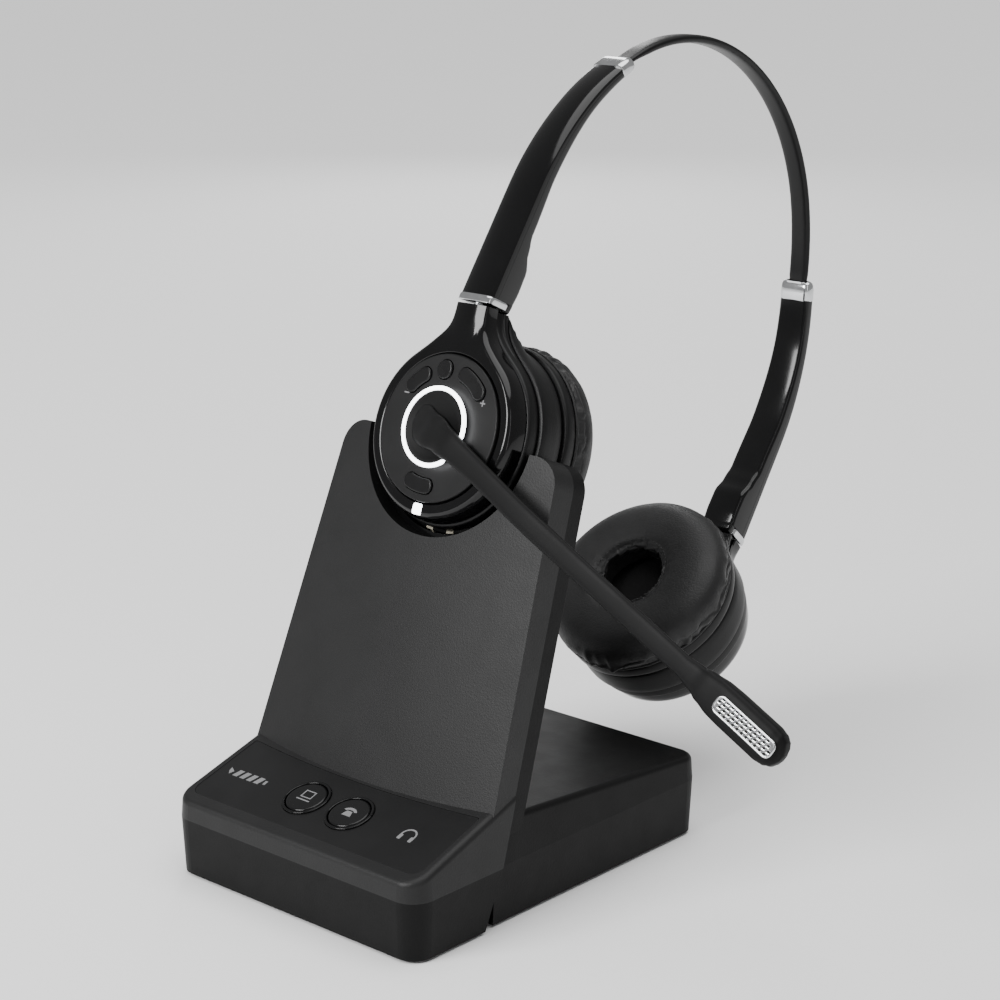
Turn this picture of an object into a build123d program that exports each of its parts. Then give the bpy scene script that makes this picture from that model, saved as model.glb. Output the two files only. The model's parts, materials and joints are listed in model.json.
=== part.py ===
from build123d import *
from math import cos, degrees, radians, sin, tan
import os

# Wireless two-ear headset standing in its charging base.
# Millimetres. Origin at the middle of the base's underside, +Z up, +Y to the back, +X to the user's right.

# ---------------------------------------------------------------- driving dimensions
# charging base
base_width = 100.0          # widest line of the base, at the seam
base_depth = 130.0
base_corner = 7.2
foot_height = 0.9           # the shells float this far above the desk
seam_height = 18.2          # between base tray and front housing
tray_draft = 0.85           # the tray is this much narrower at the bottom, each side
top_draft = 1.4             # the deck edge is this much narrower than the seam, each side
rear_step = 1.3             # the rear housing is this much narrower, each side
shell = 2.2                 # wall thickness of every moulded cover of the base
lip_height = 24.4           # front lip of the deck
deck_slope = 18.2           # degrees, control deck
rear_deck_high = 30.1       # rear deck at the middle of the base
rear_deck_low = 25.4        # and at its back edge

# leaning upright
lean = 21.0                 # degrees back from vertical
foot_y = -31.0              # where the upright's front edge meets the deck
foot_z = 35.0
upright_foot_half = 48.4    # half width at the deck
upright_narrowing = 0.067   # half width lost for each millimetre up the lean
upright_bulge = 3.6         # the front face is this much proud in the middle
upright_depth = 13.5
upright_root = 26.8         # the upright starts inside the deck at this height
split_depth = 8.0           # joint of the front and rear housings, behind the front edge
horn_top = 100.2            # up the lean
slot_radius = 31.6          # U-shaped opening that takes the ear cup
cup_height = 102.0          # centre of the docked ear cup, up the lean

# ear cups, measured along their own axis, z outward from the upright's front edge plane
casing_radius = 29.4
casing_back = -13.9
casing_step = -4.0
casing_step_radius = 28.0
casing_front = 0.6
fascia_front = 7.0
fascia_radius = 25.2
face_radius = 22.1
face_front = 7.6
rim_back = -19.3            # the casing's rim, which the cushion is stretched over
rim_front = -14.6
rim_radius = 30.3
cushion_radius = 31.8
cushion_front = -19.4       # against the rim
cushion_back = -32.8        # against the ear
cushion_hole = 11.5
hub_radius = 11.0
ring_radius = 11.9

# microphone boom
boom_angle = -25.5          # degrees below level, docked
boom_level = 10.6           # height of the blade's middle above the cup's zero plane
boom_width = 7.0
boom_thickness = 2.4
boom_bend_at = 46.0
boom_bend = 7.0             # degrees towards the mouth
boom_end = 118.0
mic_length = 32.0
mic_width = 11.0
mic_thickness = 6.6

# headband, in the headset's plane of symmetry
band_tilt = 13.6            # degrees between the docked cup's neck and the headband's axis
band_origin_a = 84.6        # the headband's own origin, back from the upright and up the lean
band_origin_u = 180.0
arm_reach = 75.8            # from the axis to the straight part of an arm
arc_radius = 91.0           # arms and ends of the band
arc_start = -20.0           # where the straight part of an arm turns into the arc
arc_join = 42.0             # degrees, where the band's end arc meets its crown arc
arm_bottom = -58.4
collar_height = 3.0
arm_top_angle = 34.5        # degrees, mouth of the arm
cap_length = 6.5
arm_width = 12.6
arm_thickness = 6.2
band_width = 6.6
band_thickness = 1.8
spring_width = 4.4
spring_thickness = 0.6
tongue_length = 22.0        # band hidden in an arm that is pushed right in
slide_angle = 29.0          # degrees, direction in which an arm pulls out
far_extension = 12.0        # the far arm stands pulled out this much

button_travel = 0.5
gap = 0.3                   # between pieces that move against each other

os.makedirs("parts", exist_ok=True)

# ---------------------------------------------------------------- planes
back = Vector(0, cos(radians(lean)), -sin(radians(lean)))
up = Vector(0, sin(radians(lean)), cos(radians(lean)))
foot = Vector(0, foot_y, foot_z)
upright_plane = Plane(origin=foot, x_dir=(1, 0, 0), z_dir=back * -1)
cup_plane = Plane(origin=foot + up * cup_height, x_dir=(1, 0, 0), z_dir=back * -1)

tilt_cos = cos(radians(band_tilt))
tilt_sin = sin(radians(band_tilt))
band_out = back * tilt_cos - up * tilt_sin
band_up = back * tilt_sin + up * tilt_cos
band_origin = foot + back * band_origin_a + up * band_origin_u
slide_out = sin(radians(slide_angle))
slide_down = cos(radians(slide_angle))
far_shift = band_out * (slide_out * far_extension) - band_up * (slide_down * far_extension)
band_plane = Plane(origin=band_origin, x_dir=band_out, z_dir=(1, 0, 0))
near_arm_plane = Plane(origin=band_origin, x_dir=band_out * -1, z_dir=(-1, 0, 0))
far_arm_plane = Plane(origin=band_origin + far_shift, x_dir=band_out, z_dir=(1, 0, 0))

# the cup hangs at the same place under either arm
cup_reach = band_origin_a * tilt_cos - (band_origin_u - cup_height) * tilt_sin
cup_drop = band_origin_a * tilt_sin + (band_origin_u - cup_height) * tilt_cos
far_cup_plane = Plane(
    origin=band_origin + far_shift + band_out * cup_reach - band_up * cup_drop,
    x_dir=(-1, 0, 0),
    z_dir=band_out * tilt_cos - band_up * tilt_sin,
)
deck_plane = Plane(
    origin=(0, -base_depth / 2 + 2, lip_height),
    x_dir=(1, 0, 0),
    z_dir=(0, -sin(radians(deck_slope)), cos(radians(deck_slope))),
)


def write(part, label):
    """Name one finished piece and write it out."""
    part.label = label
    export_step(part, f"parts/{label}.step")


def block(plane, low, high, size=400.0):
    """A large square slab between two heights of a plane, for cutting."""
    with BuildPart(mode=Mode.PRIVATE) as slab:
        with BuildSketch(plane.offset(low)):
            Rectangle(size, size)
        extrude(amount=high - low)
    return slab.part


# ---------------------------------------------------------------- charging base
def front_profile(inset):
    """Side view of everything under the control deck."""
    front = -base_depth / 2
    slope = tan(radians(deck_slope))
    drop = inset / cos(radians(deck_slope))
    peak = foot_y + 14
    with BuildSketch(Plane.YZ.offset(-base_width), mode=Mode.PRIVATE) as profile:
        with BuildLine():
            Polyline(
                (front - 5, -5),
                (front - 5, lip_height - drop - 7 * slope),
                (peak, lip_height + (peak - front - 2) * slope - drop),
                (peak, -5),
                close=True,
            )
        make_face()
    return profile.sketch


def rear_profile(inset):
    """Side view of everything under the rear deck."""
    rear = base_depth / 2
    fall = (rear_deck_high - rear_deck_low) / rear
    with BuildSketch(Plane.YZ.offset(-base_width), mode=Mode.PRIVATE) as profile:
        with BuildLine():
            Polyline(
                (rear + 5, -5),
                (rear + 5, rear_deck_low - 5 * fall - inset),
                (foot_y, rear_deck_high - foot_y * fall - inset),
                (foot_y, -5),
                close=True,
            )
        make_face()
    return profile.sketch


def base_form(inset, step, profile):
    """The base's outer body, or its hollow when inset is the wall thickness."""
    half = base_width / 2 - step - inset
    long = base_depth - 2 * inset
    corner = max(base_corner - inset, 1)
    top = foot_z + 10
    with BuildPart(mode=Mode.PRIVATE) as form:
        with BuildSketch(Plane.XY.offset(seam_height)):
            RectangleRounded(2 * half, long, corner)
        extrude(amount=top - seam_height, taper=4.4)
        with BuildSketch(Plane.XY.offset(seam_height)):
            RectangleRounded(2 * half, long, corner)
        extrude(amount=-(seam_height - foot_height - inset), taper=2.7)
        extrude(profile(inset), amount=2 * base_width, mode=Mode.INTERSECT)
    return form.part


def half_width(height):
    """Half the upright's width at a height up the lean."""
    return upright_foot_half - upright_narrowing * height


def upright_form(inset):
    """The leaning upright, with its U-shaped opening and two horns."""
    low = -34.0
    high = horn_top - inset
    arch = upright_bulge + (upright_foot_half ** 2 - upright_bulge ** 2) / (2 * upright_bulge)
    with BuildPart(mode=Mode.PRIVATE) as form:
        with BuildSketch(upright_plane.offset(-upright_depth + inset)) as face:
            with BuildLine():
                Polyline(
                    (-half_width(low) + inset, low),
                    (half_width(low) - inset, low),
                    (half_width(high) - inset, high),
                    (-half_width(high) + inset, high),
                    close=True,
                )
            make_face()
            horns = face.vertices().group_by(Axis.Y)[-1]
            fillet(horns, 8.5 - inset)
            with Locations((0, cup_height)):
                Circle(slot_radius + inset, mode=Mode.SUBTRACT)
        extrude(amount=upright_depth + upright_bulge - 2 * inset)
        # the front face is part of a wide upright cylinder
        barrel = Plane(origin=foot + up * low, x_dir=(1, 0, 0), z_dir=up)
        with BuildSketch(barrel):
            with Locations((0, arch - upright_bulge)):
                Circle(arch - inset)
        extrude(amount=200, mode=Mode.INTERSECT)
        add(block(Plane.XY, -60, upright_root), mode=Mode.SUBTRACT)
    return form.part


front_side = block(upright_plane, -split_depth, 200)
rear_side = block(upright_plane, -200, -split_depth)
above_seam = block(Plane.XY, seam_height, 200)
below_seam = block(Plane.XY, -10, seam_height)

panel_width = 93.0
panel_low = 2.6             # up the sloped deck from the lip
panel_high = 32.6
panel_recess = 1.2
panel_corner = 3.5
computer_button_x = -9.3
phone_button_x = 8.3
deck_button_up = 15.6
bezel_radius = 7.5
button_radius = 6.3
pin_spread = 4.0            # charging pins, each side of the middle
pin_level = -6.0
pin_radius = 0.7


def panel_outline(clearance):
    """The control panel's outline on the sloped deck, bowed along the upright's foot."""
    with BuildSketch(Plane.XY, mode=Mode.PRIVATE) as outline:
        half = panel_width / 2 - clearance
        with BuildLine():
            Line((-half, panel_low + clearance), (half, panel_low + clearance))
            Line((half, panel_low + clearance), (half - 0.6, panel_high - 2.0 - clearance))
            ThreePointArc(
                (half - 0.6, panel_high - 2.0 - clearance),
                (0, panel_high - 4.6 - clearance),
                (-half + 0.6, panel_high - 2.0 - clearance),
            )
            Line((-half + 0.6, panel_high - 2.0 - clearance), (-half, panel_low + clearance))
        make_face()
        fillet(outline.vertices().group_by(Axis.Y)[0], panel_corner - clearance)
        fillet(outline.vertices().group_by(Axis.Y)[-1], 0.8)
    return outline.sketch



floor_top = foot_height + shell
boss_centres = [(-41, -54), (41, -54), (-40, 56), (40, 56)]
foot_centres = [(-34, -44), (34, -44), (-34, 48), (34, 48), (0, 0)]
board_posts = [(-34, -16), (34, -16), (-34, 38), (34, 38)]
board_low = 6.4
board_high = 8.0
deck_buttons = [(computer_button_x, deck_button_up), (phone_button_x, deck_button_up)]
socket_face = base_depth / 2 - 0.9
power_x = -30.0
usb_x = -8.0
phone_x = 22.0
rear_half = base_width / 2 - rear_step - shell
pin_plane = Plane(origin=cup_plane.from_local_coords((0, -37, pin_level)), x_dir=(1, 0, 0), z_dir=up)


def deck_rim(builder):
    """The edges round the deck, above the seam and clear of the cut ends."""
    high = builder.edges().filter_by(lambda edge: edge.center().Z > seam_height + 5)
    return high.filter_by(lambda edge: abs(edge.center().X) > 46 or abs(edge.center().Y) > 62)


def discs(plane, centres, radius, height):
    """Equal round posts or bores standing on a plane."""
    with BuildPart(mode=Mode.PRIVATE) as group:
        with BuildSketch(plane):
            with Locations(*centres):
                Circle(radius)
        extrude(amount=height)
    return group.part


with BuildPart() as front_housing:
    add(base_form(0, 0, front_profile))
    add(above_seam, mode=Mode.INTERSECT)
    fillet(deck_rim(front_housing), 2.0)
    add(upright_form(0))
    add(base_form(shell, 0, front_profile), mode=Mode.SUBTRACT)
    add(upright_form(shell), mode=Mode.SUBTRACT)
    add(discs(Plane.XY.offset(floor_top + 2), boss_centres[:2], 3.2, lip_height - floor_top - 0.6))
    add(discs(deck_plane.offset(-6), [(-28, 15), (28, 15)], 2.2, 4.4))
    add(discs(Plane.XY, boss_centres[:2], 1.3, 15), mode=Mode.SUBTRACT)
    add(front_side, mode=Mode.INTERSECT)
    with BuildSketch(deck_plane.offset(4)):
        add(panel_outline(0))
    extrude(amount=-4 - panel_recess, mode=Mode.SUBTRACT)
    add(discs(deck_plane.offset(-5), deck_buttons, bezel_radius - 0.5, 8), mode=Mode.SUBTRACT)
    pin_sites = [(-pin_spread, 0), (pin_spread, 0)]
    add(discs(pin_plane, pin_sites, pin_radius + 0.2, 8), mode=Mode.SUBTRACT)

with BuildPart() as rear_housing:
    add(base_form(0, rear_step, rear_profile))
    fillet(deck_rim(rear_housing), 1.8)
    add(upright_form(0))
    add(base_form(shell, rear_step, rear_profile), mode=Mode.SUBTRACT)
    add(upright_form(shell), mode=Mode.SUBTRACT)
    # the floor belongs to the tray
    with BuildSketch(Plane.XY):
        RectangleRounded(2 * rear_half, base_depth - 2 * shell, base_corner - shell)
    extrude(amount=floor_top, mode=Mode.SUBTRACT)
    add(discs(Plane.XY.offset(floor_top + 2), boss_centres[2:], 3.2, rear_deck_low - floor_top - 3.5))
    add(discs(Plane.XY, boss_centres[2:], 1.3, 15), mode=Mode.SUBTRACT)
    add(rear_side, mode=Mode.INTERSECT)
    with BuildSketch(Plane.XZ.offset(-base_depth / 2 - 2)):
        with Locations((power_x, 13.5)):
            Circle(4.1)
        with Locations((usb_x, 10.4)):
            RectangleRounded(9.2, 4.4, 1.2)
        with Locations((phone_x, 13.9)):
            Rectangle(13.4, 11.8)
    extrude(amount=6, mode=Mode.SUBTRACT)

with BuildPart() as base_tray:
    add(base_form(0, 0, front_profile))
    add(front_side, mode=Mode.INTERSECT)
    add(below_seam, mode=Mode.INTERSECT)
    add(base_form(shell, 0, front_profile), mode=Mode.SUBTRACT)
    with BuildSketch(Plane.XY.offset(foot_height)):
        RectangleRounded(2 * rear_half - 0.6, base_depth - 2 * shell - 0.6, base_corner - shell)
    extrude(amount=shell)
    add(discs(Plane.XY.offset(floor_top - 0.5), boss_centres, 4.2, 2.4))
    add(discs(Plane.XY.offset(floor_top - 0.5), board_posts, 2.6, board_low - floor_top + 0.5))
    add(discs(Plane.XY, foot_centres, 6.2, foot_height + 0.5), mode=Mode.SUBTRACT)
    add(discs(Plane.XY, boss_centres, 1.7, 8), mode=Mode.SUBTRACT)
    add(discs(Plane.XY, boss_centres, 2.9, foot_height + 2.2), mode=Mode.SUBTRACT)

with BuildPart() as rubber_feet:
    add(discs(Plane.XY, foot_centres, 6.0, foot_height + 0.5))
    fillet(rubber_feet.edges().group_by(Axis.Z)[0], 0.5)

with BuildPart() as base_screws:
    add(discs(Plane.XY.offset(foot_height + 0.3), boss_centres, 2.6, 1.8))
    add(discs(Plane.XY.offset(foot_height + 2), boss_centres, 1.25, 9))
    with BuildSketch(Plane.XY.offset(foot_height + 0.3)):
        with Locations(*boss_centres):
            Rectangle(3.0, 0.6)
            Rectangle(0.6, 3.0)
    extrude(amount=0.9, mode=Mode.SUBTRACT)

with BuildPart() as ballast_plate:
    with BuildSketch(Plane.XY.offset(floor_top + 0.1)):
        with Locations((0, 10)):
            RectangleRounded(82, 78, 4)
        with Locations(*board_posts):
            Circle(3.4, mode=Mode.SUBTRACT)
    extrude(amount=2.7)

with BuildPart() as base_circuit_board:
    with BuildSketch(Plane.XY.offset(board_low)):
        with Locations((0, 20)):
            RectangleRounded(70, 84, 3)
    extrude(amount=board_high - board_low)

with BuildPart() as radio_shield:
    with BuildSketch(Plane.XY.offset(board_high)):
        with Locations((-16, 4)):
            RectangleRounded(26, 20, 1.5)
    extrude(amount=2.6)
    fillet(radio_shield.edges().group_by(Axis.Z)[-1], 0.5)

with BuildPart() as power_socket:
    with BuildSketch(Plane.XY.offset(board_high)):
        with Locations((power_x, socket_face - 2.3 - 6)):
            Rectangle(9.6, 12)
    extrude(amount=10.4)
    with BuildSketch(Plane.XZ.offset(-socket_face)):
        with Locations((power_x, 13.5)):
            Circle(3.9)
    extrude(amount=3)
    with BuildSketch(Plane.XZ.offset(-socket_face)):
        with Locations((power_x, 13.5)):
            Circle(3.1)
            Circle(0.9, mode=Mode.SUBTRACT)
    extrude(amount=9, mode=Mode.SUBTRACT)

with BuildPart() as usb_socket:
    with BuildSketch(Plane.XZ.offset(-socket_face)):
        with Locations((usb_x, 10.0)):
            RectangleRounded(8.2, 3.6, 0.8)
            RectangleRounded(7.0, 2.5, 0.5, mode=Mode.SUBTRACT)
    extrude(amount=6)
    with BuildSketch(Plane.XZ.offset(-socket_face + 4.6)):
        with Locations((usb_x, 10.0)):
            RectangleRounded(8.2, 3.6, 0.8)
    extrude(amount=3)

with BuildPart() as phone_socket:
    with BuildSketch(Plane.XZ.offset(-socket_face)):
        with Locations((phone_x, 13.8)):
            Rectangle(13.0, 11.2)
    extrude(amount=15)
    with BuildSketch(Plane.XZ.offset(-socket_face)):
        with Locations((phone_x, 14.2)):
            Rectangle(9.8, 6.6)
        with Locations((phone_x, 10.6)):
            Rectangle(4.4, 2.2)
    extrude(amount=11, mode=Mode.SUBTRACT)

# ---------------------------------------------------------------- control deck
gauge_up = 15.6
gauge_left = -41.6
bar_pitch = 3.0
bar_count = 4


def gauge_symbols(clearance):
    """Charge gauge: four slanted bars, a cap and a spark."""
    with BuildSketch(Plane.XY, mode=Mode.PRIVATE) as symbols:
        for index in range(bar_count):
            left = gauge_left + 1.6 + index * bar_pitch
            with BuildLine():
                Polyline(
                    (left + 0.9 + clearance, gauge_up + 1.5 - clearance / 2),
                    (left + 2.9 - clearance, gauge_up + 1.5 - clearance / 2),
                    (left + 2.0 - clearance, gauge_up - 1.5 + clearance / 2),
                    (left + clearance, gauge_up - 1.5 + clearance / 2),
                    close=True,
                )
            make_face()
        with BuildLine():
            Polyline(
                (gauge_left - 1.2, gauge_up + 1.4),
                (gauge_left + 0.9, gauge_up + 0.2),
                (gauge_left + 0.1, gauge_up - 1.4),
                (gauge_left - 0.9, gauge_up - 0.1),
                close=True,
            )
        make_face()
        with Locations((gauge_left + 1.6 + bar_count * bar_pitch + 1.0, gauge_up)):
            Rectangle(1.0 - clearance, 1.8 - clearance)
    return symbols.sketch


def headset_symbol(clearance):
    """A band and two small pads."""
    centre = (31.6, 15.6)
    with BuildSketch(Plane.XY, mode=Mode.PRIVATE) as symbol:
        with Locations(centre):
            Circle(2.7 - clearance / 2)
            Circle(2.1 + clearance / 2, mode=Mode.SUBTRACT)
        with Locations((centre[0], centre[1] - 2.6)):
            Rectangle(3.4, 2.2, mode=Mode.SUBTRACT)
        with Locations((centre[0] - 2.1, centre[1] - 1.3), (centre[0] + 2.1, centre[1] - 1.3)):
            RectangleRounded(1.3 - clearance, 2.2 - clearance, 0.35)
    return symbol.sketch


panel_top = -0.1
panel_low_face = -panel_recess
with BuildPart() as control_panel:
    with BuildSketch(deck_plane.offset(panel_low_face)):
        add(panel_outline(0.15))
    extrude(amount=panel_top - panel_low_face)
    add(discs(deck_plane.offset(-3), deck_buttons, bezel_radius + 0.1, 5), mode=Mode.SUBTRACT)
    with BuildSketch(deck_plane.offset(panel_top - 0.5)):
        add(gauge_symbols(0))
        add(headset_symbol(0))
    extrude(amount=2, mode=Mode.SUBTRACT)

with BuildPart() as deck_lights:
    with BuildSketch(deck_plane.offset(panel_top - 0.5)):
        add(gauge_symbols(0.06))
        add(headset_symbol(0.06))
    extrude(amount=0.55)

with BuildPart() as button_bezels:
    with BuildSketch(deck_plane.offset(panel_low_face)):
        with Locations(*deck_buttons):
            Circle(bezel_radius)
            Circle(button_radius + gap, mode=Mode.SUBTRACT)
    extrude(amount=panel_top - panel_low_face + 0.55)
    fillet(button_bezels.edges().group_by(Axis.Z)[-1], 0.25)


def deck_button(x):
    """One round deck button with its shoulder under the housing."""
    with BuildPart(mode=Mode.PRIVATE) as button:
        with BuildSketch(deck_plane.offset(-4.0)):
            with Locations((x, deck_button_up)):
                Circle(button_radius)
        extrude(amount=4.0 + 0.5)
        fillet(button.edges().sort_by(Axis.Z)[-1:], 0.6)
        with BuildSketch(deck_plane.offset(-4.0)):
            with Locations((x, deck_button_up)):
                Circle(bezel_radius + 1.0)
        extrude(amount=1.2)
    return button.part


switch_top = -4.7
with BuildPart() as deck_switches:
    with BuildSketch(deck_plane.offset(switch_top - 1.6)):
        with Locations(*deck_buttons):
            RectangleRounded(5, 5, 0.6)
    extrude(amount=1.0)
    with BuildSketch(deck_plane.offset(switch_top - 0.7)):
        with Locations(*deck_buttons):
            Circle(1.4)
    extrude(amount=0.7)

with BuildPart() as deck_circuit_board:
    with BuildSketch(deck_plane.offset(switch_top - 2.8)):
        with Locations((0, 15)):
            RectangleRounded(68, 15, 1.5)
    extrude(amount=1.2)

# ---------------------------------------------------------------- cradle
liner_inner = casing_radius + 0.4
with BuildPart() as cradle_liner:
    with BuildSketch(cup_plane.offset(-upright_depth + 0.9)):
        Circle(slot_radius - 0.05)
        Circle(liner_inner, mode=Mode.SUBTRACT)
        with Locations((0, 38)):
            Rectangle(80, 84, mode=Mode.SUBTRACT)
    extrude(amount=upright_depth - 0.9 - 2.8)
    add(discs(pin_plane, pin_sites, pin_radius + 0.2, 12), mode=Mode.SUBTRACT)

pin_tip = 37 - casing_radius + 0.08
with BuildPart() as charging_pins:
    add(discs(pin_plane.offset(-2.2), pin_sites, pin_radius, pin_tip + 2.2))
    fillet(charging_pins.edges().sort_by(Axis.Z)[-2:], 0.3)

with BuildPart() as pin_carrier:
    with BuildSketch(pin_plane.offset(-4.6)):
        RectangleRounded(13, 3.2, 0.8)
    extrude(amount=7.4)
    add(discs(pin_plane.offset(-3.2), pin_sites, pin_radius + 0.06, 12), mode=Mode.SUBTRACT)
    with BuildSketch(cup_plane.offset(pin_level - 3)):
        Circle(slot_radius + shell + 0.1)
    extrude(amount=6, mode=Mode.SUBTRACT)

# ---------------------------------------------------------------- ear cups
light_angle = -92.0
collar_foot = arm_bottom - collar_height - 0.2
call_angle = 98.0
call_radius = 17.3
arc_button_radius = 17.4
arc_button_width = 4.6
arc_buttons = {"volume_down_button": (132, 18), "volume_up_button": (58, 27), "mute_button": (-97, 22)}


def neck_form(cup, arm):
    """The neck that rises from the ring of an ear cup to the collar under its arm."""
    rise = cup.y_dir
    with BuildPart(mode=Mode.PRIVATE) as neck:
        for height, width, low, high in ((15, 43, -10.0, 6.4), (29, 20.5, -6.5, 6.3)):
            middle = cup.from_local_coords((0, height, (low + high) / 2))
            with BuildSketch(Plane(origin=middle, x_dir=cup.x_dir, z_dir=rise)):
                RectangleRounded(width, high - low, 2.6)
        top = arm.from_local_coords((arm_reach, collar_foot, 0))
        with BuildSketch(Plane(origin=top, x_dir=cup.x_dir, z_dir=arm.y_dir)):
            RectangleRounded(arm_width + 0.2, 8.6, 2.6)
        loft()
    return neck.part


def pin_bore(arm, radius, low, high):
    """The swivel pin under an arm, or the bore for it."""
    start = arm.from_local_coords((arm_reach, low, 0))
    return discs(Plane(origin=start, x_dir=arm.z_dir, z_dir=arm.y_dir), [(0, 0)], radius, high - low)


neck_split = 0.65
swivel_pin_radius = 1.5
swivel_pin_low = arm_bottom - 13.0
swivel_pin_high = arm_bottom + 7.0


def cup_casing(cup, arm):
    """Rear casing of an ear cup: a stepped round shell with the back half of the neck."""
    with BuildPart(mode=Mode.PRIVATE) as casing:
        with BuildSketch(cup.offset(casing_back)):
            Circle(casing_radius)
        extrude(amount=casing_step - casing_back)
        with BuildSketch(cup.offset(casing_step)):
            Circle(casing_step_radius)
        extrude(amount=casing_front - casing_step)
        for front, radius in ((rim_front, rim_radius), (casing_back, casing_step_radius + 0.6)):
            with BuildSketch(cup.offset(rim_back)):
                Circle(radius)
            extrude(amount=front - rim_back)
        add(neck_form(cup, arm))
        add(block(cup, neck_split - 0.05, 60), mode=Mode.SUBTRACT)
        with BuildSketch(cup.offset(rim_back - 1)):
            Circle(casing_step_radius - 1.4)
        extrude(amount=casing_front - rim_back - 1.2, mode=Mode.SUBTRACT)
        with BuildSketch(cup.offset(-4)):
            Circle(6.2)
        extrude(amount=8, mode=Mode.SUBTRACT)
        add(pin_bore(arm, swivel_pin_radius + 0.05, swivel_pin_low - 0.5, swivel_pin_high), mode=Mode.SUBTRACT)
    return casing.part


def cup_fascia(cup, arm):
    """Glossy ring round the cup's face, with the front half of the neck."""
    with BuildPart(mode=Mode.PRIVATE) as fascia:
        with BuildSketch(cup.offset(neck_split)):
            Circle(casing_step_radius - 0.6)
        extrude(amount=fascia_front - neck_split, taper=14)
        add(neck_form(cup, arm))
        add(block(cup, -60, neck_split), mode=Mode.SUBTRACT)
        with BuildSketch(cup.offset(neck_split + 1.6)):
            Circle(face_radius + 0.1)
        extrude(amount=20, mode=Mode.SUBTRACT)
        with BuildSketch(cup.offset(neck_split - 1)):
            Circle(face_radius - 1.4)
        extrude(amount=20, mode=Mode.SUBTRACT)
        add(pin_bore(arm, swivel_pin_radius + 0.05, swivel_pin_low - 0.5, swivel_pin_high), mode=Mode.SUBTRACT)
    return fascia.part


def cup_baffle(cup):
    """Round plate that closes the casing, with the sound holes in its middle."""
    with BuildPart(mode=Mode.PRIVATE) as baffle:
        with BuildSketch(cup.offset(casing_back + 0.1)):
            Circle(casing_step_radius - 1.5)
            Circle(1.0, mode=Mode.SUBTRACT)
            for ring, count in ((3.2, 6), (6.4, 12)):
                with PolarLocations(ring, count):
                    Circle(0.9, mode=Mode.SUBTRACT)
        extrude(amount=1.8)
    return baffle.part


def cup_driver(cup):
    """Loudspeaker: basket and magnet."""
    with BuildPart(mode=Mode.PRIVATE) as driver:
        for low, high, radius in ((-11.9, -9.8, 16.0), (-9.8, -8.4, 11.0), (-8.4, -6.6, 8.0)):
            with BuildSketch(cup.offset(low)):
                Circle(radius)
            extrude(amount=high - low)
    return driver.part


def cup_cushion(cup):
    """Soft ring cushion, modelled plain."""
    with BuildPart(mode=Mode.PRIVATE) as cushion:
        with BuildSketch(cup.offset(cushion_back)):
            Circle(cushion_radius)
            Circle(cushion_hole, mode=Mode.SUBTRACT)
        extrude(amount=cushion_front - cushion_back)
        crown = cushion.faces().sort_by(Axis(cup.origin, cup.z_dir))[0].edges().sort_by(SortBy.RADIUS)
        fillet(crown[-1], 7.0)
        fillet(crown[0], 4.5)
    return cushion.part


def arc_button_outline(angle, span, grow):
    """A curved slot about the cup's centre."""
    start = angle - span / 2
    with BuildSketch(Plane.XY, mode=Mode.PRIVATE) as outline:
        with BuildLine(mode=Mode.PRIVATE):
            arc = CenterArc((0, 0), arc_button_radius, start, span)
        SlotArc(arc, arc_button_width + 2 * grow)
    return outline.sketch


call_x = call_radius * cos(radians(call_angle))
call_y = call_radius * sin(radians(call_angle))
face_back = face_front - 2.2
with BuildPart() as control_face:
    with BuildSketch(cup_plane.offset(face_back)):
        Circle(face_radius)
    extrude(amount=face_front - face_back)
    fillet(control_face.edges().group_by(Axis(cup_plane.origin, cup_plane.z_dir))[-1], 0.4)
    with BuildSketch(cup_plane.offset(2.3)):
        Circle(face_radius)
        Circle(face_radius - 1.2, mode=Mode.SUBTRACT)
        Circle(6.0)
    extrude(amount=face_back - 2.3)
    with BuildSketch(cup_plane.offset(-2)):
        for angle, span in arc_buttons.values():
            add(arc_button_outline(angle, span, 0.25))
        with Locations((call_x, call_y)):
            Circle(2.9 + 0.25)
        Circle(3.05)
    extrude(amount=20, mode=Mode.SUBTRACT)


def face_button(outline, flange):
    """A button of the ear cup's face: cap, and a flange behind the face."""
    with BuildPart(mode=Mode.PRIVATE) as button:
        with BuildSketch(cup_plane.offset(face_back - 1.2)):
            add(outline)
        extrude(amount=face_front - face_back + 1.2 + 0.7)
        tops = button.edges().group_by(Axis(cup_plane.origin, cup_plane.z_dir))[-1]
        fillet(tops, 0.5)
        with BuildSketch(cup_plane.offset(face_back - 1.4)):
            add(flange)
        extrude(amount=1.0)
    return button.part


with BuildSketch(Plane.XY) as call_outline:
    with Locations((call_x, call_y)):
        Circle(2.9)
with BuildSketch(Plane.XY) as call_flange:
    with Locations((call_x, call_y)):
        Circle(3.5)

switch_sites = [(call_x, call_y)]
for angle, span in arc_buttons.values():
    switch_sites.append((arc_button_radius * cos(radians(angle)), arc_button_radius * sin(radians(angle))))

with BuildPart() as headset_circuit_board:
    with BuildSketch(cup_plane.offset(0.9)):
        Circle(20.4)
        Circle(7.0, mode=Mode.SUBTRACT)
    extrude(amount=1.0)
    # tact switches under the four buttons
    with BuildSketch(cup_plane.offset(1.9)):
        with Locations(*switch_sites):
            RectangleRounded(3.0, 3.0, 0.4)
    extrude(amount=1.2)

with BuildPart() as headset_battery:
    with BuildSketch(cup_plane.offset(-5.9)):
        with Locations((0, -2)):
            RectangleRounded(25, 18, 1.5)
    extrude(amount=3.6)
    fillet(headset_battery.edges().group_by(Axis(cup_plane.origin, cup_plane.z_dir))[-1], 0.8)

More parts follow.
